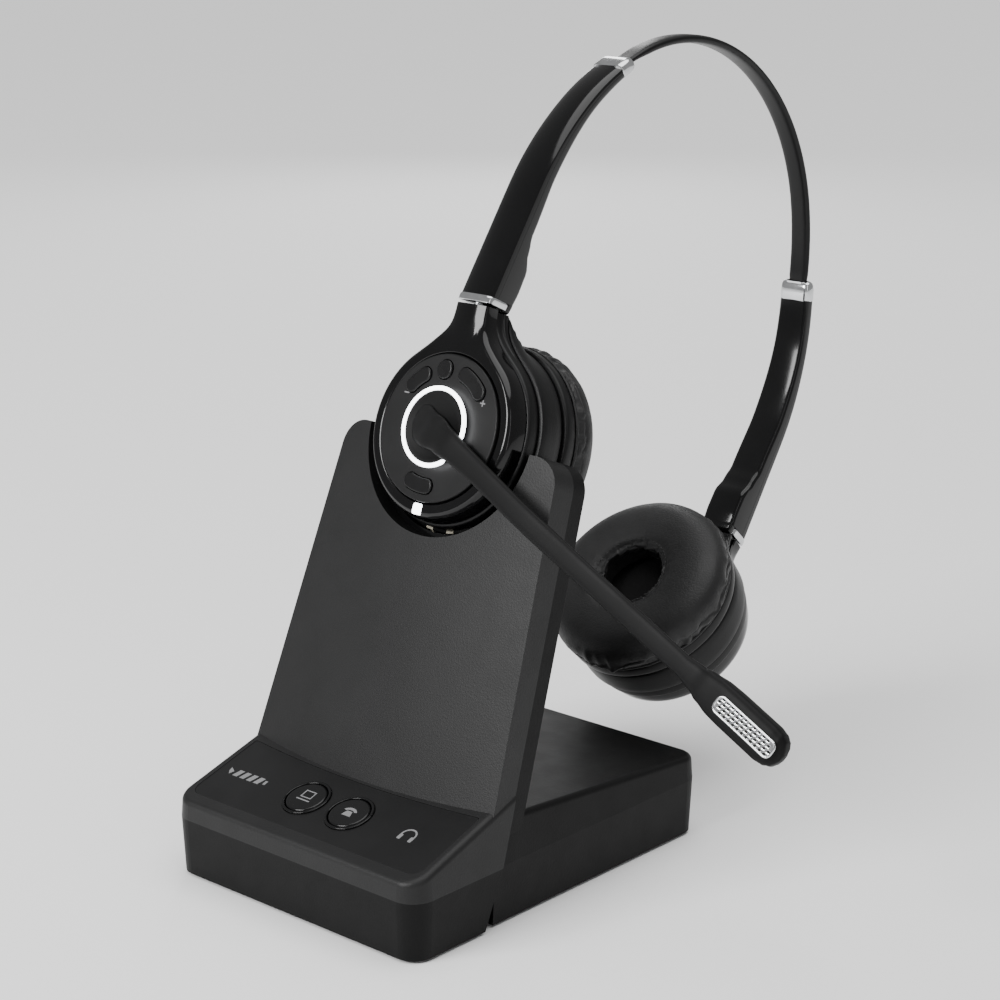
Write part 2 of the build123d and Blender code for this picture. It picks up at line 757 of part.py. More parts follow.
with BuildPart() as mic_side_fascia:
    add(cup_fascia(cup_plane, near_arm_plane))
    with BuildSketch(cup_plane.offset(5.0)):
        with Locations(Location((24.2 * cos(radians(light_angle)), 24.2 * sin(radians(light_angle))))):
            Rectangle(3.4, 2.6)
    extrude(amount=6, mode=Mode.SUBTRACT)

with BuildPart() as dock_light:
    with BuildSketch(cup_plane.offset(5.0)):
        with Locations(Location((24.2 * cos(radians(light_angle)), 24.2 * sin(radians(light_angle))))):
            Rectangle(3.3, 2.5)
    extrude(amount=1.9)
    fillet(dock_light.edges().group_by(Axis(cup_plane.origin, cup_plane.z_dir))[-1], 0.3)

pad_box = [(-pin_spread, -casing_radius), (pin_spread, -casing_radius)]
with BuildPart() as charging_pads:
    with BuildSketch(cup_plane.offset(pin_level - 2)):
        with Locations(*pad_box):
            Rectangle(2.6, 3.4)
    extrude(amount=4)
    with BuildSketch(cup_plane.offset(pin_level - 3)):
        Circle(casing_radius - 0.05)
        Circle(casing_radius - 1.0, mode=Mode.SUBTRACT)
    extrude(amount=6, mode=Mode.INTERSECT)

with BuildPart() as mic_side_casing:
    add(cup_casing(cup_plane, near_arm_plane))
    with BuildSketch(cup_plane.offset(pin_level - 2)):
        with Locations(*pad_box):
            Rectangle(2.6, 3.4)
        Circle(casing_radius - 1.0, mode=Mode.SUBTRACT)
    extrude(amount=4, mode=Mode.SUBTRACT)

# ---------------------------------------------------------------- microphone boom
boom_side = Vector(cos(radians(boom_angle)), 0, 0) + up * sin(radians(boom_angle))
boom_plane = Plane(
    origin=cup_plane.from_local_coords((0, 0, boom_level)), x_dir=boom_side, z_dir=cup_plane.z_dir
)
bend = radians(boom_bend)
boom_far_dir = boom_side * cos(bend) - cup_plane.z_dir * sin(bend)
boom_far_up = cup_plane.z_dir * cos(bend) + boom_side * sin(bend)
boom_far_plane = Plane(
    origin=boom_plane.from_local_coords((boom_bend_at, 0, 0)), x_dir=boom_far_dir, z_dir=boom_far_up
)
far_run = boom_end - boom_bend_at
shaft_radius = 3.0
hub_low = face_front + 0.3
ring_gap = 47.0

with BuildPart() as boom_retainer:
    with BuildSketch(boom_plane.offset(1.5 - boom_level)):
        Circle(4.6)
        Circle(shaft_radius, mode=Mode.SUBTRACT)
    extrude(amount=0.7)

with BuildPart() as boom_ring:
    with BuildSketch(Plane(origin=boom_plane.origin, x_dir=boom_plane.x_dir, z_dir=boom_plane.y_dir * -1)):
        with Locations((ring_radius, -1.2)):
            Circle(0.85)
    revolve(axis=Axis(boom_plane.origin, boom_plane.z_dir), revolution_arc=360 - ring_gap)
ring_part = boom_ring.part.rotate(Axis(boom_plane.origin, boom_plane.z_dir), ring_gap / 2)

root_half = boom_thickness / 2
with BuildPart() as boom_blade:
    with BuildSketch(boom_plane.offset(-root_half)) as root:
        Circle(4.6)
        with BuildLine():
            Polyline((-1.2, -4.4), (15, -boom_width / 2), (15, boom_width / 2), (-1.2, 4.4), close=True)
        make_face()
        with Locations(((15 + boom_bend_at) / 2, 0)):
            Rectangle(boom_bend_at - 14.9, boom_width)
    extrude(amount=boom_thickness)
    with BuildSketch(boom_far_plane.offset(-root_half)):
        with Locations((far_run / 2, 0)):
            Rectangle(far_run + 0.3, boom_width)
    extrude(amount=boom_thickness)

with BuildPart() as boom_hub:
    with BuildSketch(boom_plane.offset(hub_low - boom_level)):
        Circle(hub_radius)
    extrude(amount=2.2)
    dish = boom_plane.offset(hub_low + 2.2 - boom_level + 24.6).origin
    with BuildSketch(Plane(origin=dish, x_dir=boom_plane.x_dir, z_dir=boom_plane.y_dir)):
        with BuildLine():
            Line((0, -26.6), (0, 26.6))
            ThreePointArc((0, 26.6), (26.6, 0), (0, -26.6))
        make_face()
    revolve(axis=Axis(dish, boom_plane.z_dir), mode=Mode.SUBTRACT)
    with BuildSketch(boom_plane.offset(1.4 - boom_level)):
        Circle(shaft_radius)
    extrude(amount=hub_low - 1.4 + 0.6)
    add(boom_blade.part, mode=Mode.SUBTRACT)

mic_start = far_run - 6.0
mic_stop = far_run + mic_length
grille_start = mic_stop - 23.4
grille_length = 21.6
grille_width = 5.2
grille_lift = mic_thickness / 2 - 0.2
with BuildPart() as mic_housing:
    sections = ((mic_start, boom_width + 0.4, boom_thickness + 0.6), (far_run + 5, mic_width - 0.6, mic_thickness - 1))
    for along, wide, thick in sections:
        centre = boom_far_plane.from_local_coords((along, 0, 0))
        with BuildSketch(Plane(origin=centre, x_dir=boom_far_plane.y_dir, z_dir=boom_far_plane.x_dir)):
            RectangleRounded(wide, thick, thick / 2 - 0.3)
    loft()
    with BuildSketch(boom_far_plane.offset(-mic_thickness / 2)):
        with Locations(((far_run + 2 + mic_stop) / 2, 0)):
            SlotOverall(mic_stop - far_run - 2, mic_width)
    extrude(amount=mic_thickness)
    tops = mic_housing.faces().filter_by(GeomType.PLANE).sort_by(Axis(boom_plane.origin, boom_far_up))
    fillet(tops[-1].edges() + tops[0].edges(), 1.6)
    with BuildSketch(boom_far_plane.offset(mic_thickness / 2 - 1.0)):
        with Locations((grille_start + grille_length / 2, 0)):
            SlotOverall(grille_length + 0.3, grille_width + 0.3)
    extrude(amount=3, mode=Mode.SUBTRACT)
    with BuildSketch(boom_far_plane.offset(-1.6)):
        with Locations((grille_start + grille_length / 2 + 4, 0)):
            Circle(2.4)
    extrude(amount=8, mode=Mode.SUBTRACT)
    with BuildSketch(boom_far_plane.offset(-root_half)):
        with Locations((mic_start - 5, 0)):
            Rectangle(20.3, boom_width, align=(Align.MIN, Align.CENTER))
    extrude(amount=boom_thickness, mode=Mode.SUBTRACT)

with BuildPart() as mic_grille:
    with BuildSketch(boom_far_plane.offset(mic_thickness / 2 - 1.0)):
        with Locations((grille_start + grille_length / 2, 0)):
            SlotOverall(grille_length, grille_width)
            for row, shift in ((-1.6, 0), (0, 0.8), (1.6, 0)):
                with Locations((shift, row)):
                    with GridLocations(1.6, 1, 12, 1):
                        Circle(0.42, mode=Mode.SUBTRACT)
    extrude(amount=0.9)

with BuildPart() as mic_capsule:
    with BuildSketch(boom_far_plane.offset(-1.5)):
        with Locations((grille_start + grille_length / 2 + 4, 0)):
            Circle(2.2)
    extrude(amount=2.4)

# ---------------------------------------------------------------- arms
arc_offset = arm_reach - arc_radius
wall = 1.0
cavity = arm_thickness - 2 * wall
cap_angle = arm_top_angle - degrees(cap_length / arc_radius)


def arm_sketch(arm, outer):
    """Half of an arm's section, standing where its straight part meets the arc."""
    start = arm.from_local_coords((arm_reach, arc_start, 0))
    side = 1 if outer else -1
    edge = arm_thickness / 2 - (0.9 if outer else 0.5)
    ridge = arm_thickness / 2 + (0.25 if outer else 0)
    half = arm_width / 2
    inner_half = half - 1.1
    with BuildSketch(Plane(origin=start, x_dir=arm.x_dir, z_dir=arm.y_dir)) as section:
        with BuildLine():
            Polyline(
                (0.05 * side, -half),
                (side * (edge - 0.8), -half),
                (side * edge, -half + 1.0),
                (side * ridge, 0.6 if outer else 0),
                (side * edge, half - 1.0),
                (side * (edge - 0.8), half),
                (0.05 * side, half),
                (0.05 * side, inner_half),
                (side * cavity / 2, inner_half),
                (side * cavity / 2, -inner_half),
                (0.05 * side, -inner_half),
                close=True,
            )
        make_face()
    return section.sketch


def arm_axis(arm):
    """Axis of the arm's arc."""
    centre = arm.from_local_coords((arc_offset, arc_start, 0))
    return Axis(centre, arm.z_dir)


def arm_cover(arm, outer):
    """One half of an arm: straight at the bottom, then curving in over the head."""
    section = arm_sketch(arm, outer)
    with BuildPart(mode=Mode.PRIVATE) as cover:
        extrude(section, amount=-(arc_start - arm_bottom))
        revolve(section, axis=arm_axis(arm), revolution_arc=cap_angle)
        if not outer:
            with BuildSketch(arm.offset(-arm_width / 2 + 0.2)):
                with BuildLine():
                    Polyline(
                        (arm_reach - cavity / 2, arm_bottom + 26),
                        (arm_reach - cavity / 2, arm_bottom),
                        (arm_reach - 7.4, arm_bottom),
                        (arm_reach - 7.4, arm_bottom + 8),
                        (arm_reach - 5.4, arm_bottom + 17),
                        (arm_reach - arm_thickness / 2 + 0.1, arm_bottom + 26),
                        close=True,
                    )
                make_face()
            extrude(amount=arm_width - 0.4)
            # solid foot that holds the swivel pin
            with BuildSketch(collar_plane(arm)):
                with Locations((-0.3, 0)):
                    Rectangle(cavity - 0.5, arm_width - 2.4)
            extrude(amount=9)
        add(pin_bore(arm, swivel_pin_radius, arm_bottom - 1, swivel_pin_high), mode=Mode.SUBTRACT)
    return cover.part


def collar_plane(arm):
    """Square to the arm, at its bottom end."""
    return Plane(origin=arm.from_local_coords((arm_reach, arm_bottom, 0)), x_dir=arm.x_dir, z_dir=arm.y_dir)


def arm_collar(arm):
    """Bright collar between an arm and the neck of its ear cup."""
    with BuildPart(mode=Mode.PRIVATE) as collar:
        with BuildSketch(collar_plane(arm).offset(-collar_height)):
            with Locations((-1.4, 0)):
                RectangleRounded(10.6, arm_width + 0.7, 2.8)
        extrude(amount=collar_height)
        fillet(collar.edges().filter_by(lambda edge: abs(edge.tangent_at(0).dot(arm.y_dir)) < 0.1), 0.4)
        add(pin_bore(arm, swivel_pin_radius, arm_bottom - 9, swivel_pin_high), mode=Mode.SUBTRACT)
    return collar.part


def arm_cap(arm):
    """Bright cap round the mouth of an arm, with the slot for the band."""
    start = arm.from_local_coords((arm_reach, arc_start, 0))
    with BuildPart(mode=Mode.PRIVATE) as cap:
        section = Plane(origin=start, x_dir=arm.x_dir, z_dir=arm.y_dir)
        with BuildSketch(section, mode=Mode.PRIVATE) as outline:
            RectangleRounded(arm_thickness + 0.5, arm_width + 0.5, 2.2)
            Rectangle(4.2, band_width + 0.8, mode=Mode.SUBTRACT)
        turned = outline.sketch.rotate(arm_axis(arm), cap_angle)
        revolve(turned, axis=arm_axis(arm), revolution_arc=arm_top_angle - cap_angle)
    return cap.part


# ---------------------------------------------------------------- headband
crown_radius = arc_radius + arc_offset / cos(radians(arc_join))
crown_height = arc_start - arc_offset * tan(radians(arc_join))
tongue_angle = arm_top_angle - degrees(tongue_length / arc_radius)


def band_sweep(width, thickness, trim):
    """A strip along the headband: a crown arc between two end arcs."""
    low = tongue_angle + trim
    with BuildPart(mode=Mode.PRIVATE) as strip:
        pieces = (
            (arc_offset, arc_start, arc_radius, low, arc_join),
            (0, crown_height, crown_radius, arc_join, 180 - arc_join),
            (-arc_offset, arc_start, arc_radius, 180 - arc_join, 180 - low),
        )
        for x, y, radius, begin, end in pieces:
            centre = band_plane.from_local_coords((x, y, 0))
            with BuildSketch(Plane(origin=centre, x_dir=band_plane.x_dir, z_dir=band_plane.y_dir),
                             mode=Mode.PRIVATE) as section:
                with Locations((radius, 0)):
                    Rectangle(thickness, width)
            axis = Axis(centre, band_plane.z_dir)
            revolve(section.sketch.rotate(axis, begin), axis=axis, revolution_arc=end - begin)
    return strip.part


with BuildPart() as headband_sleeve:
    add(band_sweep(band_width, band_thickness, 0))
    add(band_sweep(spring_width + 0.1, spring_thickness + 0.04, 0.6), mode=Mode.SUBTRACT)

# ---------------------------------------------------------------- listening-side face
with BuildPart() as far_face:
    with BuildSketch(far_cup_plane.offset(face_back)):
        Circle(face_radius)
    extrude(amount=face_front - face_back)
    with BuildSketch(far_cup_plane.offset(2.3)):
        Circle(face_radius)
        Circle(face_radius - 1.2, mode=Mode.SUBTRACT)
    extrude(amount=face_back - 2.3)
    fillet(far_face.edges().group_by(Axis(far_cup_plane.origin, far_cup_plane.z_dir))[-1], 0.4)

for label, piece in (
    ("front_housing", front_housing.part), ("rear_housing", rear_housing.part), ("base_tray", base_tray.part),
    ("rubber_feet", rubber_feet.part), ("base_screws", base_screws.part), ("ballast_plate", ballast_plate.part),
    ("base_circuit_board", base_circuit_board.part), ("radio_shield", radio_shield.part),
    ("power_socket", power_socket.part), ("usb_socket", usb_socket.part),
    ("phone_socket", phone_socket.part), ("control_panel", control_panel.part),
    ("deck_lights", deck_lights.part), ("button_bezels", button_bezels.part),
    ("computer_button", deck_button(computer_button_x)), ("phone_button", deck_button(phone_button_x)),
    ("deck_switches", deck_switches.part), ("deck_circuit_board", deck_circuit_board.part),
    ("cradle_liner", cradle_liner.part), ("charging_pins", charging_pins.part), ("pin_carrier", pin_carrier.part),
    ("mic_side_casing", mic_side_casing.part), ("mic_side_fascia", mic_side_fascia.part),
    ("control_face", control_face.part), ("dock_light", dock_light.part), ("charging_pads", charging_pads.part),
    ("headset_circuit_board", headset_circuit_board.part),
    ("headset_battery", headset_battery.part), ("mic_side_driver", cup_driver(cup_plane)),
    ("mic_side_baffle", cup_baffle(cup_plane)), ("mic_side_cushion", cup_cushion(cup_plane)),
    ("boom_hub", boom_hub.part), ("boom_retainer", boom_retainer.part), ("boom_ring", ring_part),
    ("boom_blade", boom_blade.part), ("mic_housing", mic_housing.part), ("mic_grille", mic_grille.part),
    ("mic_capsule", mic_capsule.part), ("headband_sleeve", headband_sleeve.part),
    ("headband_spring", band_sweep(spring_width, spring_thickness, 0.6)), ("far_face", far_face.part),
    ("far_casing", cup_casing(far_cup_plane, far_arm_plane)), ("far_fascia", cup_fascia(far_cup_plane, far_arm_plane)),
    ("far_driver", cup_driver(far_cup_plane)), ("far_baffle", cup_baffle(far_cup_plane)),
    ("far_cushion", cup_cushion(far_cup_plane)),
):
    write(piece, label)

for side, arm in (("mic_side", near_arm_plane), ("far", far_arm_plane)):
    write(arm_cover(arm, True), f"{side}_arm_outer")
    write(arm_cover(arm, False), f"{side}_arm_inner")
    write(arm_collar(arm), f"{side}_collar")
    write(arm_cap(arm), f"{side}_arm_cap")
    write(pin_bore(arm, swivel_pin_radius, swivel_pin_low, swivel_pin_high), f"{side}_swivel_pin")

buttons = {"call_button": (call_outline.sketch, call_flange.sketch)}
for label, (angle, span) in arc_buttons.items():
    buttons[label] = (arc_button_outline(angle, span, 0), arc_button_outline(angle, span, 0.7))
for label, (outline, flange) in buttons.items():
    write(face_button(outline, flange), label)
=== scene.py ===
import json
import math
import random

import bmesh
import bpy
import numpy as np
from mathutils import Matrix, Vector


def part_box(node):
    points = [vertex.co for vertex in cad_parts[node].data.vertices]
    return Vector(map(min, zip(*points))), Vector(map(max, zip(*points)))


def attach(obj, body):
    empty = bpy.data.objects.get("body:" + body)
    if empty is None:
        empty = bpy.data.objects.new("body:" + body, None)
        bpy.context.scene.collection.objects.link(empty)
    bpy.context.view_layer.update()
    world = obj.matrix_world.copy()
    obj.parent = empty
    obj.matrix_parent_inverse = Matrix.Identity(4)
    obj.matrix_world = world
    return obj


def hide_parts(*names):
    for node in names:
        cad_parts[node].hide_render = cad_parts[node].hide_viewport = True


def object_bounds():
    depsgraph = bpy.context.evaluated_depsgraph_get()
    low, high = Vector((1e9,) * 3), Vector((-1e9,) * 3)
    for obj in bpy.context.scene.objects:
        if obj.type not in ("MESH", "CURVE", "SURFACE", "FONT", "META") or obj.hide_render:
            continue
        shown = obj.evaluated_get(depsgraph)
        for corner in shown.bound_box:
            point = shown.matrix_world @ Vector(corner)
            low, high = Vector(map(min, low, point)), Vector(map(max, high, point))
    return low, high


# Wireless two-ear headset standing in its charging base.
# Shapes are worked out in millimetres in the frames of the cups, arms and band, and built in metres.
# The base, the cups' faces and the buttons are CAD nodes with a finish; cup shells, cushions, arms, band
# and boom are made here in their place.

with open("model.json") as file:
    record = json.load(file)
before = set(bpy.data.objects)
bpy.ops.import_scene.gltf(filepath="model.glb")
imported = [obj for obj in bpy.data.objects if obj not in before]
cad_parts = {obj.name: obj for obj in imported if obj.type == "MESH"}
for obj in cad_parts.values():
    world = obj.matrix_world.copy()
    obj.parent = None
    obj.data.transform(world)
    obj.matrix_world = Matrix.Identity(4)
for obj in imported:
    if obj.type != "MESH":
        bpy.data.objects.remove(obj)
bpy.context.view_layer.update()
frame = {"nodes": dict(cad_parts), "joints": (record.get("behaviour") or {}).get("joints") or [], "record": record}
nodes = frame["nodes"]
joints = {joint["name"]: joint for joint in frame["joints"]}
MM = 0.001


def turns(count):
    """Angles in radians, evenly round a full turn."""
    return [2 * math.pi * k / count for k in range(count)]


def polar(radius, angle):
    return radius * math.cos(angle), radius * math.sin(angle)


# ---------------------------------------------------------------- frames
class Frame:
    """A local frame: millimetres along x, y and z become a point of the object, in metres."""

    def __init__(self, origin, x, y):
        self.origin = Vector(origin)
        self.x = Vector(x).normalized()
        self.y = Vector(y).normalized()
        self.z = self.x.cross(self.y)

    def at(self, x, y, z=0.0):
        return self.origin + (self.x * x + self.y * y + self.z * z) * MM

    def turned(self, degrees):
        """The same frame turned about its own z."""
        c, s = polar(1, math.radians(degrees))
        return Frame(self.origin, self.x * c + self.y * s, self.y * c - self.x * s)

    def moved(self, x, y):
        return Frame(self.at(x, y), self.x, self.y)

    def circle(self, radius, height, count):
        """Points round the frame's own z."""
        return [self.at(*polar(radius, a), height) for a in turns(count)]


right = Vector((1, 0, 0))
cup_up = Vector(joints["headset_lift"]["axis"])
near_cup = Frame(joints["boom_turn"]["pos_m"], right, cup_up)
band_up = Vector(joints["mic_side_swivel"]["axis"])
band_out = band_up.cross(right)
near_foot = Vector(joints["mic_side_swivel"]["pos_m"])
far_foot = Vector(joints["far_swivel"]["pos_m"])
# each arm's frame: x away from the head, y up the arm, origin at the arm's foot
near_arm = Frame(near_foot, band_out * -1, band_up)
far_arm = Frame(far_foot, band_out, band_up)
lean_in = (near_cup.origin - near_foot).dot(near_arm.x) / MM
drop = (near_cup.origin - near_foot).dot(near_arm.y) / MM
splay_cos = cup_up.dot(band_up)
splay_sin = cup_up.dot(near_arm.x)
far_cup = Frame(far_arm.at(lean_in, drop), right * -1, far_arm.y * splay_cos + far_arm.x * splay_sin)
CUPS = {"mic_side": near_cup, "far": far_cup}
ARMS = {"mic_side": near_arm, "far": far_arm}
CUP_BODY = {"mic_side": "mic_side_cup", "far": "far_cup"}
ARM_BODY = {"mic_side": "mic_side_arm", "far": "far_arm"}
BOOM_ANGLE = -25.5


# ---------------------------------------------------------------- camera, floor and lights
def new_object(name, data):
    made = bpy.data.objects.new(name, data)
    bpy.context.scene.collection.objects.link(made)
    return made


def add_camera():
    target = Vector((0.01274, 0.01138, 0.11089))
    azimuth = math.radians(41.79)
    elevation = math.radians(15.154)
    distance = 0.70663
    away = Vector((math.sin(azimuth) * math.cos(elevation), -math.cos(azimuth) * math.cos(elevation),
                   math.sin(elevation)))
    data = bpy.data.cameras.new("camera")
    data.lens = 86.68
    data.sensor_width = 36
    data.clip_start = 0.01
    data.clip_end = 20
    camera = new_object("camera", data)
    camera.location = target + away * distance
    camera.rotation_euler = (-away).to_track_quat("-Z", "Y").to_euler()
    bpy.context.scene.camera = camera


def add_light(name, place, target, size, power):
    data = bpy.data.lights.new(name, "AREA")
    data.shape = "RECTANGLE"
    data.size = size[0]
    data.size_y = size[1]
    data.energy = power
    light = new_object(name, data)
    light.location = place
    light.rotation_euler = (Vector(target) - Vector(place)).to_track_quat("-Z", "Y").to_euler()


def add_stage():
    """Pale floor, even light from above, a key from the front and two weak strips for the edges."""
    middle = (0, 0.02, 0.12)
    add_light("key", (-0.28, -1.25, 0.86), middle, (0.8, 0.5), 24)
    add_light("side_strip", (1.35, -0.55, 0.75), middle, (0.10, 1.2), 1.5)
    add_light("back_strip", (-0.9, 1.0, 0.8), middle, (0.16, 1.2), 3)
    # one very soft light from above keeps the floor even right to the edges of the view
    data = bpy.data.lights.new("overhead", "SUN")
    data.energy = 2.3
    data.angle = 1.05
    overhead = new_object("overhead", data)
    overhead.location = (0, 0, 2)
    overhead.rotation_euler = (-0.1, 0.12, 0)
    world = bpy.data.worlds.new("studio")
    world.use_nodes = True
    background = world.node_tree.nodes["Background"]
    background.inputs["Color"].default_value = (1, 1, 1, 1)
    background.inputs["Strength"].default_value = 0.36
    bpy.context.scene.world = world
    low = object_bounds()[0].z
    mesh = bpy.data.meshes.new("floor")
    half = 9.0
    corners = [(-half, -half, low), (half, -half, low), (half, half, low), (-half, half, low)]
    mesh.from_pydata(corners, [], [(0, 1, 2, 3)])
    floor = new_object("floor", mesh)
    finish = bpy.data.materials.new("floor_paper")
    finish.use_nodes = True
    shader = finish.node_tree.nodes["Principled BSDF"]
    shader.inputs["Base Color"].default_value = (0.93, 0.93, 0.93, 1)
    shader.inputs["Roughness"].default_value = 0.75
    mesh.materials.append(finish)


# ---------------------------------------------------------------- materials
class Nodes:
    """A material's node tree, with short calls for the nodes that the finishes share."""

    def __init__(self, name):
        self.material = bpy.data.materials.new(name)
        self.material.use_nodes = True
        self.tree = self.material.node_tree
        self.shader = self.tree.nodes["Principled BSDF"]
        self.coordinates = self.tree.nodes.new("ShaderNodeTexCoord").outputs["Object"]

    def link(self, output, target):
        self.tree.links.new(output, target)

    def set(self, **values):
        for name, value in values.items():
            self.shader.inputs[name.replace("_", " ")].default_value = value

    def noise(self, scale, detail=3.0, roughness=0.55, stretch=(1, 1, 1)):
        mapping = self.tree.nodes.new("ShaderNodeMapping")
        mapping.inputs["Scale"].default_value = stretch
        self.link(self.coordinates, mapping.inputs["Vector"])
        node = self.tree.nodes.new("ShaderNodeTexNoise")
        node.inputs["Scale"].default_value = scale
        node.inputs["Detail"].default_value = detail
        node.inputs["Roughness"].default_value = roughness
        self.link(mapping.outputs["Vector"], node.inputs["Vector"])
        return node.outputs["Fac"]

    def cells(self, scale, feature="DISTANCE_TO_EDGE", randomness=1.0):
        node = self.tree.nodes.new("ShaderNodeTexVoronoi")
        node.feature = feature
        node.inputs["Scale"].default_value = scale
        node.inputs["Randomness"].default_value = randomness
        self.link(self.coordinates, node.inputs["Vector"])
        return node.outputs["Distance"]

    def ramp(self, value, low, high, start=0.0, end=1.0):
        """value from start..end mapped to low..high."""
        node = self.tree.nodes.new("ShaderNodeMapRange")
        node.inputs["From Min"].default_value = start
        node.inputs["From Max"].default_value = end
        node.inputs["To Min"].default_value = low
        node.inputs["To Max"].default_value = high
        self.link(value, node.inputs["Value"])
        return node.outputs["Result"]

    def colours(self, value, dark, light, start=0.3, end=0.7):
        node = self.tree.nodes.new("ShaderNodeValToRGB")
        node.color_ramp.elements[0].position = start
        node.color_ramp.elements[0].color = (*dark, 1)
        node.color_ramp.elements[1].position = end
        node.color_ramp.elements[1].color = (*light, 1)
        self.link(value, node.inputs["Fac"])
        return node.outputs["Color"]

    def add(self, first, second, operation="ADD"):
        node = self.tree.nodes.new("ShaderNodeMath")
        node.operation = operation
        self.link(first, node.inputs[0])
        if isinstance(second, (int, float)):
            node.inputs[1].default_value = second
        else:
            self.link(second, node.inputs[1])
        return node.outputs["Value"]

    def bump(self, height, strength, distance, under=None):
        node = self.tree.nodes.new("ShaderNodeBump")
        node.inputs["Strength"].default_value = strength
        node.inputs["Distance"].default_value = distance
        self.link(height, node.inputs["Height"])
        if under is not None:
            self.link(under, node.inputs["Normal"])
        self.link(node.outputs["Normal"], self.shader.inputs["Normal"])
        return node.outputs["Normal"]

    def edges(self, radius):
        """High where an edge is rubbed: the difference between the true and the rounded normal."""
        bevel = self.tree.nodes.new("ShaderNodeBevel")
        bevel.samples = 4
        bevel.inputs["Radius"].default_value = radius
        geometry = self.tree.nodes.new("ShaderNodeNewGeometry")
        dot = self.tree.nodes.new("ShaderNodeVectorMath")
        dot.operation = "DOT_PRODUCT"
        self.link(bevel.outputs["Normal"], dot.inputs[0])
        self.link(geometry.outputs["Normal"], dot.inputs[1])
        return self.ramp(dot.outputs["Value"], 1.0, 0.0, 0.72, 0.995)


def moulded_plastic(name, colour, roughness, grain_scale, grain, edge=0.0004, ior=1.32):
    """Textured black plastic: spark-eroded grain, uneven sheen and slightly rubbed edges."""
    tree = Nodes(name)
    clouds = tree.noise(38, 4)
    dark = [c * 0.82 for c in colour]
    light = [c * 1.22 for c in colour]
    base = tree.colours(clouds, dark, light)
    mix = tree.tree.nodes.new("ShaderNodeMix")
    mix.data_type = "RGBA"
    tree.link(tree.ramp(tree.edges(edge), 0.0, 0.5), mix.inputs["Factor"])
    tree.link(base, mix.inputs["A"])
    mix.inputs["B"].default_value = (*[c * 2.2 + 0.004 for c in colour], 1)
    tree.link(mix.outputs["Result"], tree.shader.inputs["Base Color"])
    sheen = tree.ramp(tree.noise(120, 3), roughness - 0.06, roughness + 0.07)
    tree.link(sheen, tree.shader.inputs["Roughness"])
    coarse = tree.noise(grain_scale, 2, 0.6)
    pits = tree.cells(grain_scale * 0.8, "F1")
    tree.bump(tree.add(coarse, pits), grain, 0.00006)
    tree.set(IOR=ior)
    return tree.material


def gloss_plastic(name, colour=(0.0022, 0.0022, 0.0024), roughness=0.11):
    """Polished black: faint orange peel, and haze where it is handled."""
    tree = Nodes(name)
    haze = tree.noise(26, 5, 0.6)
    base = tree.colours(haze, [c * 0.7 for c in colour], [c * 1.5 for c in colour])
    tree.link(base, tree.shader.inputs["Base Color"])
    sheen = tree.ramp(haze, roughness - 0.03, roughness + 0.10, 0.35, 0.85)
    tree.link(sheen, tree.shader.inputs["Roughness"])
    peel = tree.noise(900, 1, 0.4)
    tree.bump(peel, 0.05, 0.00002)
    tree.set(IOR=1.36, Coat_Weight=0.12, Coat_Roughness=0.04)
    return tree.material


def leatherette(name):
    """Black protein leather: small pebbled cells, soft creases and uneven sheen."""
    tree = Nodes(name)
    cells = tree.cells(820)
    fine = tree.noise(2600, 2)
    clouds = tree.noise(60, 4)
    base = tree.colours(clouds, (0.0058, 0.0058, 0.0060), (0.0115, 0.0115, 0.0119))
    tree.link(base, tree.shader.inputs["Base Color"])
    tree.link(tree.ramp(clouds, 0.40, 0.56, 0.3, 0.7), tree.shader.inputs["Roughness"])
    grain = tree.ramp(cells, 0.0, 1.0, 0.0, 0.16)
    soft = tree.bump(tree.noise(220, 4, 0.6), 0.22, 0.0004)
    tree.bump(tree.add(grain, tree.ramp(fine, 0, 0.35)), 0.34, 0.00007, under=soft)
    tree.set(IOR=1.40, Sheen_Weight=0.03, Sheen_Roughness=0.5)
    return tree.material


def bright_metal(name, colour=(0.82, 0.83, 0.84), roughness=0.1, stretch=(1, 1, 1), scale=400):
    """Plated or brushed metal with fine marks along one direction."""
    tree = Nodes(name)
    marks = tree.noise(scale, 4, 0.6, stretch)
    tree.link(tree.colours(marks, [c * 0.88 for c in colour], colour), tree.shader.inputs["Base Color"])
    tree.link(tree.ramp(marks, roughness * 0.6, roughness * 1.7), tree.shader.inputs["Roughness"])
    tree.bump(marks, 0.06, 0.00002)
    tree.set(Metallic=1.0)
    return tree.material


def light_guide(name, colour, strength):
    """Milky light guide, lit from inside, a little uneven along its length; also a faint painted glow on prints."""
    tree = Nodes(name)
    uneven = tree.noise(160, 2)
    tree.link(tree.colours(uneven, [c * 0.88 for c in colour], colour), tree.shader.inputs["Base Color"])
    tree.link(tree.colours(uneven, [c * 0.9 for c in colour], colour), tree.shader.inputs["Emission Color"])
    tree.link(tree.ramp(uneven, 0.22, 0.34), tree.shader.inputs["Roughness"])
    tree.set(Emission_Strength=strength, IOR=1.49)
    return tree.material


def printed_board(name):
    """Circuit board: solder mask with traces and pads."""
    tree = Nodes(name)
    traces = tree.cells(420, "DISTANCE_TO_EDGE", randomness=0.4)
    base = tree.colours(traces, (0.02, 0.16, 0.06), (0.012, 0.085, 0.035), 0.02, 0.06)
    tree.link(base, tree.shader.inputs["Base Color"])
    tree.link(tree.ramp(tree.noise(300), 0.28, 0.42), tree.shader.inputs["Roughness"])
    tree.bump(tree.ramp(traces, 1.0, 0.0, 0.0, 0.05), 0.3, 0.00005)
    return tree.material


